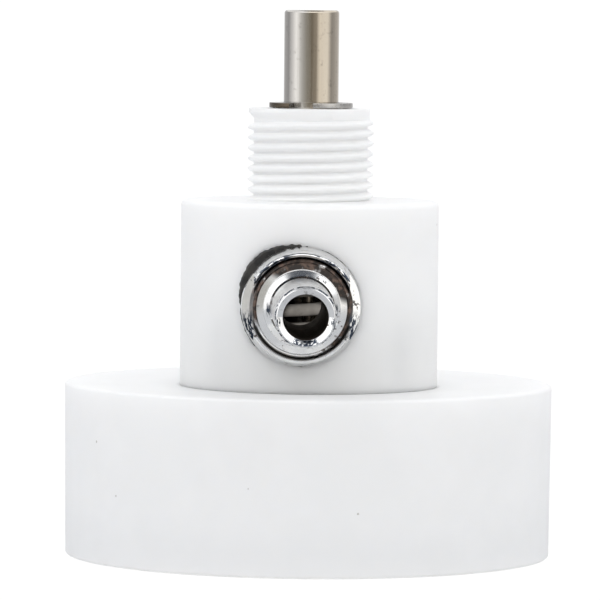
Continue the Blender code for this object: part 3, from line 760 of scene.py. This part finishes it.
def make_body():
    edge = 0.15 * MM
    over = STUD_TOP + 1.5 * MM
    profile = rounded(
        [
            (STUD_BORE, over),
            (STUD_ROOT - 0.02 * MM, over),
            (STUD_ROOT - 0.02 * MM, HUB_TOP, 0.5 * MM),
            (HUB_RADIUS, HUB_TOP, HUB_EDGE),
            (HUB_RADIUS, HUB_FOOT, 0.02 * MM),
            (SPIGOT_RADIUS, HUB_FOOT),
            (SPIGOT_RADIUS, SPIGOT_GROOVE[1], edge),
            (SPIGOT_GROOVE_RADIUS, SPIGOT_GROOVE[1]),
            (SPIGOT_GROOVE_RADIUS, SPIGOT_GROOVE[0]),
            (SPIGOT_RADIUS, SPIGOT_GROOVE[0], edge),
            (SPIGOT_RADIUS, SPIGOT_FOOT, edge),
            (SEAT_POCKET_RADIUS, SPIGOT_FOOT, edge),
            (SEAT_POCKET_RADIUS, SEAT_POCKET_ROOF),
            (CHAMBER_RADIUS, SEAT_POCKET_ROOF, edge),
            (CHAMBER_RADIUS, CHAMBER_ROOF, edge),
            (GLAND_RADIUS, CHAMBER_ROOF),
            (GLAND_RADIUS, GLAND_ROOF, edge),
            (STUD_BORE, GLAND_ROOF),
        ]
    )
    body = turned(profile, "body", WIDE_SEGMENTS)
    body = carve(body, [thread_ridge(), stud_lip()], "UNION")
    port = [
        (0, PORT_MOUTH),
        (PORT_FACE_RADIUS, PORT_MOUTH),
        (PORT_FACE_RADIUS, PORT_FACE),
        (PORT_THREAD_RADIUS, PORT_FACE),
        (PORT_THREAD_RADIUS, PORT_THREAD_END),
        (PORT_WAY_RADIUS, PORT_THREAD_END),
        (PORT_WAY_RADIUS, PORT_END),
        (0, PORT_END),
    ]
    cutter = lathe(port, WIDE_SEGMENTS, False)
    for vert in cutter.verts:
        reach = hypot(vert.co.x, vert.co.y)
        if reach > PORT_FACE_RADIUS - TINY:
            turn = atan2(vert.co.y, vert.co.x) % tau
            vert.co.xy *= max(reach, washer_reach(turn) + 0.04 * MM) / reach
    tools = [to_mesh(cutter, "port", FITTING_PLACE)]
    tools.append(prism(12 * MM, STUD_TOP, STUD_TOP + 3 * MM, 64))
    for node in BODY_SCREWS:
        tools.append(prism(BODY_TAP_RADIUS, HEAD_HEIGHT - MM, BODY_TAP_END, 32, under(node)))
    piece("valve_body", carve(body, tools), "white_plastic")


# -------- fitting

UNION_FLANGE_BACK = 17.6 * MM
UNION_FLANGE_FRONT = 19.4 * MM
UNION_FLANGE_EDGE = 18.6 * MM
UNION_FLANGE_RADIUS = radius("inlet_union") - 0.04 * MM
UNION_RIM_RADIUS = 8.32 * MM
UNION_RIM_FRONT = 7.75 * MM
UNION_FRONT = -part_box("inlet_union")[0].y
UNION_ACROSS_FLATS = 13.45 * MM
UNION_FLAT_FLOOR = 20 * MM
UNION_FLAT_SLOPE = radians(21)
UNION_SOCKET = 7.16 * MM
UNION_SOCKET_FLOOR = 19.6 * MM
UNION_SOCKET_FOOT = 6.7 * MM
UNION_UNDERCUT = (20.5 * MM, 20.9 * MM)
UNION_SHANK_RADIUS = 4.85 * MM
UNION_SHANK_END = 9.7 * MM
UNION_CUTTER = (5 * MM, 6 * MM, 20 * MM)
NOZZLE_TIP = -MOUNTS["nozzle_face"].y
NOZZLE_FOOT = 19.8 * MM
COLLAR_RADIUS = 6.88 * MM
COLLAR_FOOT_RADIUS = 6.6 * MM


def make_union():
    profile = rounded(
        [
            (UNION_SOCKET, UNION_FRONT - 0.25 * MM, 0.05 * MM),
            (UNION_SOCKET + 0.1 * MM, UNION_FRONT, 0.05 * MM),
            (UNION_RIM_FRONT, UNION_FRONT, 0.4 * MM),
            (UNION_RIM_RADIUS, UNION_FLANGE_FRONT, 0.05 * MM),
            (UNION_FLANGE_RADIUS, UNION_FLANGE_EDGE, 0.1 * MM),
            (UNION_FLANGE_RADIUS, UNION_FLANGE_BACK, 0.2 * MM),
            (UNION_SHANK_RADIUS, UNION_FLANGE_BACK, 0.1 * MM),
            (UNION_SHANK_RADIUS, UNION_SHANK_END, 0.4 * MM),
            (FITTING_BORE, UNION_SHANK_END, 0.1 * MM),
            (FITTING_BORE, UNION_SOCKET_FLOOR),
            (UNION_SOCKET_FOOT, UNION_SOCKET_FLOOR),
            (UNION_SOCKET_FOOT, UNION_UNDERCUT[0]),
            (UNION_SOCKET, UNION_UNDERCUT[1]),
        ]
    )
    union = turned(profile, "union", matrix=FITTING_PLACE)
    tools = []
    for side in (-1, 1):
        cut = block(UNION_CUTTER, (side * 2.5 * MM, -3 * MM, 0))
        for vert in cut.vertices:
            if vert.co.y > -MM:
                vert.co.y += abs(vert.co.x) * tan(UNION_FLAT_SLOPE)
        flat = FITTING.x + side * UNION_ACROSS_FLATS / 2
        cut.transform(Matrix.Translation((flat, -UNION_FLAT_FLOOR, FITTING.z)))
        tools.append(cut)
    piece("inlet_union", carve(union, tools), "chrome_union")


def make_nozzle():
    """The tube with its bright end ring and two slight ridges, then the stepped collar."""
    profile = rounded(
        [
            (FITTING_BORE, NOZZLE_TIP - 0.56 * MM, 0.05 * MM),
            (3.9 * MM, NOZZLE_TIP, 0.03 * MM),
            (4.05 * MM, NOZZLE_TIP - 0.12 * MM, 0.05 * MM),
            (4.05 * MM, NOZZLE_TIP - 0.42 * MM, 0.05 * MM),
            (3.82 * MM, NOZZLE_TIP - 0.5 * MM),
            (3.86 * MM, NOZZLE_TIP - 0.7 * MM),
            (4.24 * MM, NOZZLE_TIP - 1.0 * MM, 0.05 * MM),
            (4.20 * MM, NOZZLE_TIP - 2.2 * MM, 0.3 * MM),
            (4.28 * MM, 38 * MM, 0.4 * MM),
            (4.20 * MM, 37.4 * MM, 0.2 * MM),
            (4.30 * MM, 32 * MM, 0.4 * MM),
            (4.22 * MM, 31.4 * MM, 0.2 * MM),
            (4.32 * MM, 27 * MM, 0.4 * MM),
            (4.34 * MM, 25.2 * MM, 0.15 * MM),
            (4.62 * MM, 24.6 * MM, 0.06 * MM),
            (5.36 * MM, 23.95 * MM, 0.06 * MM),
            (5.42 * MM, 23.5 * MM, 0.04 * MM),
            (6.36 * MM, 23.28 * MM, 0.05 * MM),
            (6.42 * MM, 22.95 * MM, 0.03 * MM),
            (6.55 * MM, 23.0 * MM, 0.03 * MM),
            (COLLAR_RADIUS, 22.75 * MM, 0.08 * MM),
            (COLLAR_RADIUS, 21.3 * MM, 0.05 * MM),
            (COLLAR_FOOT_RADIUS, 21 * MM, 0.05 * MM),
            (COLLAR_FOOT_RADIUS, NOZZLE_FOOT, 0.1 * MM),
            (FITTING_BORE, NOZZLE_FOOT, 0.1 * MM),
        ]
    )
    nozzle = turned(profile, "nozzle", matrix=FITTING_PLACE)
    piece("inlet_nozzle", nozzle, "chrome_nozzle")


def make_inlet_washer():
    """A rubber washer, squeezed out past the flange at its upper left, with a torn edge."""
    columns = []
    for i in range(WIDE_SEGMENTS):
        angle = tau * i / WIDE_SEGMENTS
        outer = washer_reach(angle)
        x = FITTING.x + outer * cos(angle)
        lip = min(1, max(0, (outer - UNION_FLANGE_RADIUS) / (0.25 * MM)))
        over_hub = max(WASHER_FRONT, (HUB_RADIUS**2 - x**2) ** 0.5 + 0.3 * MM)
        front = WASHER_FRONT + (over_hub - WASHER_FRONT) * lip
        inner = min(UNION_FLANGE_RADIUS + 0.04 * MM, outer - 0.4 * MM)
        section = (
            (WASHER_BORE, WASHER_BACK),
            (WASHER_BORE, WASHER_FRONT),
            (inner, WASHER_FRONT),
            (inner + 0.02 * MM, front),
            (outer - WASHER_EDGE, front),
            (outer, front - WASHER_EDGE),
            (outer, WASHER_BACK),
        )
        columns.append([polar(reach, angle, height) for reach, height in section])
    washer = skin(columns, "washer", looped=True, matrix=FITTING_PLACE)
    piece("inlet_washer", washer, "black_rubber")


# -------- stem and clip

STEM_RADIUS = radius("valve_stem")
STEM_TOP = top("valve_stem")
STEM_FOOT = foot("valve_stem")
STEM_SHOULDER = 27 * MM
STEM_TIP_RADIUS = 2 * MM
CLIP_GROOVE = (64.3 * MM, 65.2 * MM)
CLIP_GROOVE_RADIUS = 3.75 * MM
CLIP_THICKNESS = 0.7 * MM
CLIP_RADIUS = 6 * MM
CLIP_GRIP = 3.82 * MM
CLIP_RELIEF = 4.6 * MM
CLIP_OPENING = 3.5 * MM
CLIP_TURN = radians(-16)


def make_stem():
    profile = rounded(
        [
            (0, STEM_TOP),
            (STEM_RADIUS, STEM_TOP, 0.45 * MM),
            (STEM_RADIUS, CLIP_GROOVE[1], 0.05 * MM),
            (CLIP_GROOVE_RADIUS, CLIP_GROOVE[1]),
            (CLIP_GROOVE_RADIUS, CLIP_GROOVE[0]),
            (STEM_RADIUS, CLIP_GROOVE[0], 0.05 * MM),
            (STEM_RADIUS, STEM_SHOULDER, 0.2 * MM),
            (STEM_TIP_RADIUS, STEM_SHOULDER),
            (STEM_TIP_RADIUS, STEM_FOOT, 0.2 * MM),
            (0, STEM_FOOT),
        ],
        closed=False,
    )
    piece("valve_stem", turned(profile, "stem", SEGMENTS, False), "stem_steel", "stem")


def clip_arc(reach, start, end, steps):
    return [on_circle(reach, start + (end - start) * i / steps) for i in range(steps + 1)]


def make_clip():
    """An open stamped clip: outer arc, then back round its grips and reliefs."""
    half_gap = CLIP_OPENING / 2
    outer_end = degrees(acos(half_gap / CLIP_RADIUS))
    grip_end = degrees(acos(half_gap / CLIP_GRIP))
    outline = clip_arc(CLIP_RADIUS, 180 - outer_end, 360 + outer_end, 96)
    outline += clip_arc(CLIP_GRIP, grip_end, 30, 6)
    outline += clip_arc(CLIP_RELIEF, 22, -50, 20)
    outline += clip_arc(CLIP_GRIP, -60, -120, 16)
    outline += clip_arc(CLIP_RELIEF, -130, -202, 20)
    outline += clip_arc(CLIP_GRIP, -210, -180 - grip_end, 6)
    shape = bmesh.new()
    face = shape.faces.new([shape.verts.new(point) for point in outline])
    made = bmesh.ops.extrude_face_region(shape, geom=[face])["geom"]
    lifted = [part for part in made if isinstance(part, bmesh.types.BMVert)]
    bmesh.ops.translate(shape, vec=(0, 0, CLIP_THICKNESS), verts=lifted)
    bmesh.ops.recalc_face_normals(shape, faces=shape.faces)
    rim = [edge for edge in shape.edges if abs(edge.verts[0].co.z - edge.verts[1].co.z) < TINY]
    bmesh.ops.bevel(shape, geom=rim, offset=0.07 * MM, segments=2, affect="EDGES", profile=0.5)
    place = about((0, 0, foot("stem_clip")), pi + CLIP_TURN)
    piece("stem_clip", to_mesh(shape, "clip", place), "clip_steel", "stem")


# -------- spring

SPRING_WIRE = 0.9 * MM
SPRING_RADIUS = 5.3 * MM
SPRING_FOOT = 28.3 * MM
SPRING_TOP = 46.3 * MM
SPRING_STEPS = 64
SPRING_SIDES = 20
SPRING_PHASE = radians(-49)
CLOSED_TURNS = 1
# How far a closed turn rises, in radii of the wire
CLOSED_RISE = 2.02
WORKING_TURNS = 5


def make_spring():
    """A compression spring with closed, ground ends, wound to the right."""
    low = SPRING_FOOT + 0.5 * SPRING_WIRE
    high = SPRING_TOP - 0.5 * SPRING_WIRE
    closed_rise = CLOSED_RISE * SPRING_WIRE * CLOSED_TURNS
    turns = WORKING_TURNS + 2 * CLOSED_TURNS
    pitch = (high - low - 2 * closed_rise) / WORKING_TURNS
    rings = []
    for step in range(round(turns * SPRING_STEPS) + 1):
        turn = step / SPRING_STEPS
        lift = min(turn, CLOSED_TURNS) * CLOSED_RISE * SPRING_WIRE
        lift += min(max(turn - CLOSED_TURNS, 0), WORKING_TURNS) * pitch
        lift += max(turn - CLOSED_TURNS - WORKING_TURNS, 0) * CLOSED_RISE * SPRING_WIRE
        angle = SPRING_PHASE + tau * turn
        ring = []
        for side in range(SPRING_SIDES):
            round_wire = tau * side / SPRING_SIDES
            reach = SPRING_RADIUS + SPRING_WIRE * cos(round_wire)
            height = low + lift + SPRING_WIRE * sin(round_wire)
            height = min(max(height, SPRING_FOOT), SPRING_TOP)
            ring.append(polar(reach, angle, height))
        rings.append(ring)
    spring = piece("return_spring", skin(rings, "spring"), "spring_steel")
    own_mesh(spring)


# -------- small turned pieces

RING_EDGE = 0.12 * MM


def ring_profile(node, inner, edge=RING_EDGE):
    """A plain ring with broken edges, its outside and ends from its CAD node."""
    outer, low, high = radius(node), foot(node), top(node)
    return rounded([(inner, high, edge), (outer, high, edge), (outer, low, edge), (inner, low, edge)])


def ring_piece(node, inner, finish, body="diffuser", edge=RING_EDGE):
    piece(node, turned(ring_profile(node, inner, edge), node), finish, body)


def o_ring(node):
    section = (top(node) - foot(node)) / 2
    centre = radius(node) - section
    height = middle(node).z
    turns = [pi / 2 - tau * i / 20 for i in range(20)]
    profile = [(centre + section * cos(a), height + section * sin(a)) for a in turns]
    piece(node, turned(profile, node, SMALL_SEGMENTS * 2), "black_rubber")


SEAT_BORE = 5.2 * MM
SEAT_RADIUS = 8.7 * MM
SEAT_GROOVE_RADIUS = 7.9 * MM
SEAT_GROOVE = (19.9 * MM, 21.5 * MM)
BUSH_BORE = 4.05 * MM
BUSH_NECK_RADIUS = 5.6 * MM
BUSH_FLANGE_RADIUS = 7.2 * MM
BUSH_STEP = 47.6 * MM
TIP_BORE = 2.1 * MM


def make_valve():
    """The seat, the guides and seals in the stud, and the poppet on the stem."""
    for node in ("spigot_o_ring", "seat_o_ring", "stem_o_ring_lower", "stem_o_ring_upper"):
        o_ring(node)
    seat_low, seat_high = foot("valve_seat"), top("valve_seat")
    seat = rounded(
        [
            (SEAT_BORE, seat_high, 0.3 * MM),
            (SEAT_RADIUS, seat_high, 0.15 * MM),
            (SEAT_RADIUS, SEAT_GROOVE[1], 0.05 * MM),
            (SEAT_GROOVE_RADIUS, SEAT_GROOVE[1]),
            (SEAT_GROOVE_RADIUS, SEAT_GROOVE[0]),
            (SEAT_RADIUS, SEAT_GROOVE[0], 0.05 * MM),
            (SEAT_RADIUS, seat_low, 0.15 * MM),
            (SEAT_BORE, seat_low, 0.3 * MM),
        ]
    )
    piece("valve_seat", turned(seat, "seat"), "seat_plastic")
    bush_low, bush_high = foot("guide_bush"), top("guide_bush")
    bush = rounded(
        [
            (BUSH_BORE, bush_high, 0.15 * MM),
            (BUSH_NECK_RADIUS, bush_high, 0.2 * MM),
            (BUSH_NECK_RADIUS, BUSH_STEP),
            (BUSH_FLANGE_RADIUS, BUSH_STEP, 0.15 * MM),
            (BUSH_FLANGE_RADIUS, bush_low, 0.15 * MM),
            (BUSH_BORE, bush_low, 0.15 * MM),
        ]
    )
    piece("guide_bush", turned(bush, "bush"), "bronze")
    ring_piece("gland_spacer", 4.25 * MM, "brass")
    ring_piece("spring_washer", 4.1 * MM, "clip_steel", "spring_follower", 0.1 * MM)
    ring_piece("poppet", TIP_BORE, "brass", "stem", 0.25 * MM)
    ring_piece("poppet_seal", TIP_BORE, "black_rubber", "stem", 0.15 * MM)
    low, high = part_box("poppet_nut")
    nut = prism(4.04 * MM, low.z, high.z, 6, name="nut")
    cone = [
        (0, high.z + MM),
        (4.6 * MM, high.z + MM),
        (4.3 * MM, (low.z + high.z) / 2),
        (3.5 * MM, low.z),
        (0, low.z - 0.01 * MM),
    ]
    rounded_nut = carve(nut, [turned(cone, "cone", 96, False)], "INTERSECT")
    nut_bore = prism(TIP_BORE, low.z - MM, high.z + MM, 48)
    piece("poppet_nut", carve(rounded_nut, [nut_bore]), "screw_steel", "stem")


# -------- underside

PLATE_TOP = top("diffuser_plate")
PLATE_RADIUS = radius("diffuser_plate")
PLATE_HOLES = ((9 * MM, 6), (15.5 * MM, 10), (22 * MM, 14))
PLATE_HOLE = 1.25 * MM
HOLE_COUNTERSINK = 0.35 * MM
GASKET_BORE = 28.3 * MM


def make_plate():
    profile = rounded(
        [(0, PLATE_TOP), (PLATE_RADIUS, PLATE_TOP, 0.2 * MM), (PLATE_RADIUS, 0, 0.4 * MM), (0, 0)],
        closed=False,
    )
    plate = turned(profile, "plate", WIDE_SEGMENTS, False)
    tools = []
    hole = [
        (0, PLATE_TOP + MM),
        (PLATE_HOLE, PLATE_TOP + MM),
        (PLATE_HOLE, HOLE_COUNTERSINK),
        (PLATE_HOLE + 2 * HOLE_COUNTERSINK, -HOLE_COUNTERSINK),
        (0, -HOLE_COUNTERSINK),
    ]
    for reach, count in PLATE_HOLES:
        for number in range(count):
            spot = about(on_circle(reach, 360 * number / count))
            tools.append(turned(hole, "hole", 40, False, spot))
    sunk = [
        (0, PLATE_TOP + MM),
        (PLATE_TAP_RADIUS, PLATE_TOP + MM),
        (PLATE_TAP_RADIUS, 1.8 * MM),
        (1.75 * MM, 1.8 * MM),
        (1.75 * MM, 0.2 * MM),
        (2.15 * MM, -0.2 * MM),
        (0, -0.2 * MM),
    ]
    gasket_tools = []
    for node in PLATE_SCREWS:
        spot = under(node)
        tools.append(turned(sunk, "sunk", 40, False, spot))
        gasket_tools.append(prism(PLATE_TAP_RADIUS, -MM, 6 * MM, 32, spot))
    piece("diffuser_plate", carve(plate, tools), "plate_plastic")

    ring = ring_profile("plate_gasket", GASKET_BORE)
    gasket = carve(turned(ring, "gasket", WIDE_SEGMENTS), gasket_tools)
    piece("plate_gasket", gasket, "black_rubber")

    low, high, outer = foot("porous_disc"), top("porous_disc"), radius("porous_disc")
    disc = rounded([(0, high), (outer, high, 0.2 * MM), (outer, low, 0.2 * MM), (0, low)], closed=False)
    piece("porous_disc", turned(disc, "porous", WIDE_SEGMENTS, False), "sintered_plastic")


# Radii of shank and head, the shoulder's height, then the socket's radius and depth
BODY_SCREW_SIZES = (1.65 * MM, 3.5 * MM, 16 * MM, 1.7 * MM, 2 * MM)
PLATE_SCREW_SIZES = (0.9 * MM, 1.55 * MM, 1.6 * MM, 0.85 * MM, 0.8 * MM)
# Radians that a socket is turned for each metre across X, so that they don't all line up
SOCKET_TWIST = 900


def screw_mesh(node, shank, head_reach, shoulder, socket_reach, socket_depth):
    """A cap screw, head down, with a hexagon socket and rolled thread rings on its shank."""
    spot = middle(node) * Vector((1, 1, 0))
    low, high = foot(node), top(node)
    corners = [(0, high), (shank * 0.8, high, 0.05 * MM)]
    pitch = 0.4 * shank
    height = high - pitch
    while height > shoulder + 2 * pitch:
        corners.append((shank, height))
        corners.append((shank * 0.84, height - pitch / 2))
        height -= pitch
    corners.append((shank * 0.9, shoulder, 0.05 * MM))
    corners.append((head_reach, shoulder, 0.12 * MM))
    corners.append((head_reach, low, 0.22 * MM))
    corners.append((0, low))
    screw = turned(rounded(corners, closed=False), node, 48, False, about(spot))
    socket = prism(socket_reach, low - MM, low + socket_depth, 6, about(spot, spot.x * SOCKET_TWIST))
    return carve(screw, [socket])


def make_screws():
    for node in BODY_SCREWS:
        piece(node, screw_mesh(node, *BODY_SCREW_SIZES), "screw_steel")
    for node in PLATE_SCREWS:
        piece(node, screw_mesh(node, *PLATE_SCREW_SIZES), "screw_steel")


# -------- studio

# The photo's viewpoint, from a fit to its outlines. The tilt and roll are in radians
CAMERA_SPOT = (-21.87 * MM, -778.0 * MM, 81.11 * MM)
CAMERA_YAW = radians(-1.513)
CAMERA_TILT = 0.05704
CAMERA_ROLL = 0.0097
CAMERA_LENS = 324.7
CAMERA_SENSOR = 36
CAMERA_CLIP = (0.01, 20)
FLOOR_SIZE = 0.55
FLOOR_COLOUR = (0.60, 0.61, 0.63, 1)
# The floor lies just under the part and lets shorter rays than this through, so the underside is lit
FLOOR_DROP = 0.03 * MM
FLOOR_REACH = 0.3 * MM
# How bright the floor and the background are to the camera itself
SEEN_WHITE = 1.05
BORE_LIGHT_POWER = 5.0
BORE_LIGHT_DISTANCE = 0.32
BORE_LIGHT_ANGLE = radians(1)
BORE_LIGHT_BLEND = 0.2
BORE_LIGHT_SIZE = 0.5 * MM
# Azimuth from the camera's side, positive to the right, and the light that comes from there
LOW_LIGHT = (
    (-180, (0.95, 0.95, 0.96)),
    (-140, (0.54, 0.54, 0.55)),
    (-115, (0.50, 0.50, 0.51)),
    (-88, (1.22, 1.22, 1.23)),
    (-68, (1.95, 1.95, 1.95)),
    (-50, (0.86, 0.85, 0.83)),
    (-38, (0.58, 0.57, 0.54)),
    (-16, (0.32, 0.31, 0.28)),
    (0, (0.26, 0.24, 0.21)),
    (18, (0.44, 0.41, 0.37)),
    (33, (1.30, 1.27, 1.21)),
    (49, (1.42, 1.40, 1.35)),
    (68, (1.34, 1.33, 1.30)),
    (90, (0.50, 0.50, 0.51)),
    (110, (0.60, 0.60, 0.61)),
    (150, (0.88, 0.88, 0.89)),
    (180, (0.95, 0.95, 0.96)),
)
HIGH_LIGHT = (
    (-180, (1.30, 1.31, 1.32)),
    (-100, (1.38, 1.39, 1.40)),
    (-70, (1.56, 1.57, 1.59)),
    (-40, (1.66, 1.67, 1.69)),
    (40, (1.66, 1.67, 1.69)),
    (70, (1.58, 1.59, 1.61)),
    (100, (1.40, 1.41, 1.42)),
    (180, (1.30, 1.31, 1.32)),
)
OVERHEAD = (0.09, 0.10, 0.12)
# The heights over which the low ring gives way to the high one, and the high one to the patch overhead
HIGH_STARTS = (0.30, 0.45)
OVERHEAD_STARTS = (0.84, 0.93)
RAMP_SCALE = 2.0


def light_ramp(n, value, stops):
    """The light from each direction round the part, as a colour ramp of a full turn."""
    ramp = n.add("ShaderNodeValToRGB")
    n.give(ramp.inputs[0], value)
    elements = ramp.color_ramp.elements
    while len(elements) > 1:
        elements.remove(elements[-1])
    for number, (azimuth, light) in enumerate(stops):
        position = azimuth / 360 + 0.5
        if number == 0:
            elements[0].position = position
        element = elements[0] if number == 0 else elements.new(position)
        element.color = tuple(channel / RAMP_SCALE for channel in light) + (1,)
    return ramp.outputs[0]


def make_world():
    """A soft tent: bright sides, a dim gap where the camera stands, and a dim patch overhead."""
    world = bpy.data.worlds.new("studio")
    bpy.context.scene.world = world
    world.use_nodes = True
    n = Nodes(world.node_tree)
    n.tree.nodes.clear()
    split = n.parts(n.add("ShaderNodeTexCoord").outputs["Generated"])
    azimuth = n.math("ARCTAN2", split["X"], n.product(split["Y"], -1))
    turn = n.math("ADD", n.math("DIVIDE", azimuth, tau), 0.5)
    low = light_ramp(n, turn, LOW_LIGHT)
    high = light_ramp(n, turn, HIGH_LIGHT)
    around = n.mix(n.ramp(split["Z"], *HIGH_STARTS), low, high)
    overhead = tuple(channel / RAMP_SCALE for channel in OVERHEAD) + (1,)
    tent = n.mix(n.ramp(split["Z"], *OVERHEAD_STARTS), around, overhead)
    lit = n.add("ShaderNodeBackground", {"Color": tent, "Strength": RAMP_SCALE}).outputs[0]
    seen = n.add("ShaderNodeBackground", {"Color": (1, 1, 1, 1), "Strength": SEEN_WHITE}).outputs[0]
    direct = n.add("ShaderNodeLightPath").outputs["Is Camera Ray"]
    n.add("ShaderNodeOutputWorld", {"Surface": n.choose(direct, lit, seen)})


def make_floor():
    """A white floor. From below it lets the camera see the underside, and lets light reach it."""
    shape = bmesh.new()
    bmesh.ops.create_circle(shape, cap_ends=True, radius=FLOOR_SIZE, segments=96)
    floor = new_object("floor", to_mesh(shape, "floor"))
    floor.location.z = -FLOOR_DROP
    material = bpy.data.materials.new("floor_white")
    material.use_nodes = True
    n = Nodes(material.node_tree)
    n.tree.nodes.clear()
    path = n.add("ShaderNodeLightPath").outputs
    diffuse = n.add("ShaderNodeBsdfDiffuse", {"Color": FLOOR_COLOUR}).outputs[0]
    glow = n.add("ShaderNodeEmission", {"Strength": SEEN_WHITE}).outputs[0]
    clear = n.add("ShaderNodeBsdfTransparent").outputs[0]
    below = n.add("ShaderNodeNewGeometry").outputs["Backfacing"]
    passed = n.math("MAXIMUM", below, n.math("LESS_THAN", path["Ray Length"], FLOOR_REACH))
    white = n.choose(path["Is Camera Ray"], diffuse, glow)
    n.add("ShaderNodeOutputMaterial", {"Surface": n.choose(passed, white, clear)})
    floor.data.materials.append(material)


def make_bore_light():
    """A narrow lamp on the line from the nozzle's tip to the camera, which lights the wire in the bore."""
    data = bpy.data.lights.new("bore_light", "SPOT")
    data.energy = BORE_LIGHT_POWER
    data.spot_size = BORE_LIGHT_ANGLE
    data.spot_blend = BORE_LIGHT_BLEND
    data.shadow_soft_size = BORE_LIGHT_SIZE
    lamp = new_object("bore_light", data)
    lamp.visible_glossy = False
    tip = Vector((FITTING.x, -NOZZLE_TIP, FITTING.z))
    towards = (Vector(CAMERA_SPOT) - tip).normalized()
    lamp.location = tip + towards * BORE_LIGHT_DISTANCE
    lamp.rotation_euler = towards.to_track_quat("Z", "Y").to_euler()


def make_camera():
    data = bpy.data.cameras.new("camera")
    data.lens = CAMERA_LENS
    data.sensor_width = CAMERA_SENSOR
    data.clip_start, data.clip_end = CAMERA_CLIP
    camera = new_object("camera", data)
    camera.matrix_world = (
        Matrix.Translation(CAMERA_SPOT)
        @ Matrix.Rotation(CAMERA_YAW, 4, "Z")
        @ Matrix.Rotation(RIGHT_ANGLE - CAMERA_TILT, 4, "X")
        @ Matrix.Rotation(CAMERA_ROLL, 4, "Z")
    )
    bpy.context.scene.camera = camera


make_head()
make_body()
make_union()
make_nozzle()
make_inlet_washer()
make_stem()
make_clip()
make_spring()
make_valve()
make_plate()
make_screws()
make_world()
make_floor()
make_bore_light()
make_camera()
bpy.context.scene.view_settings.view_transform = "Standard"
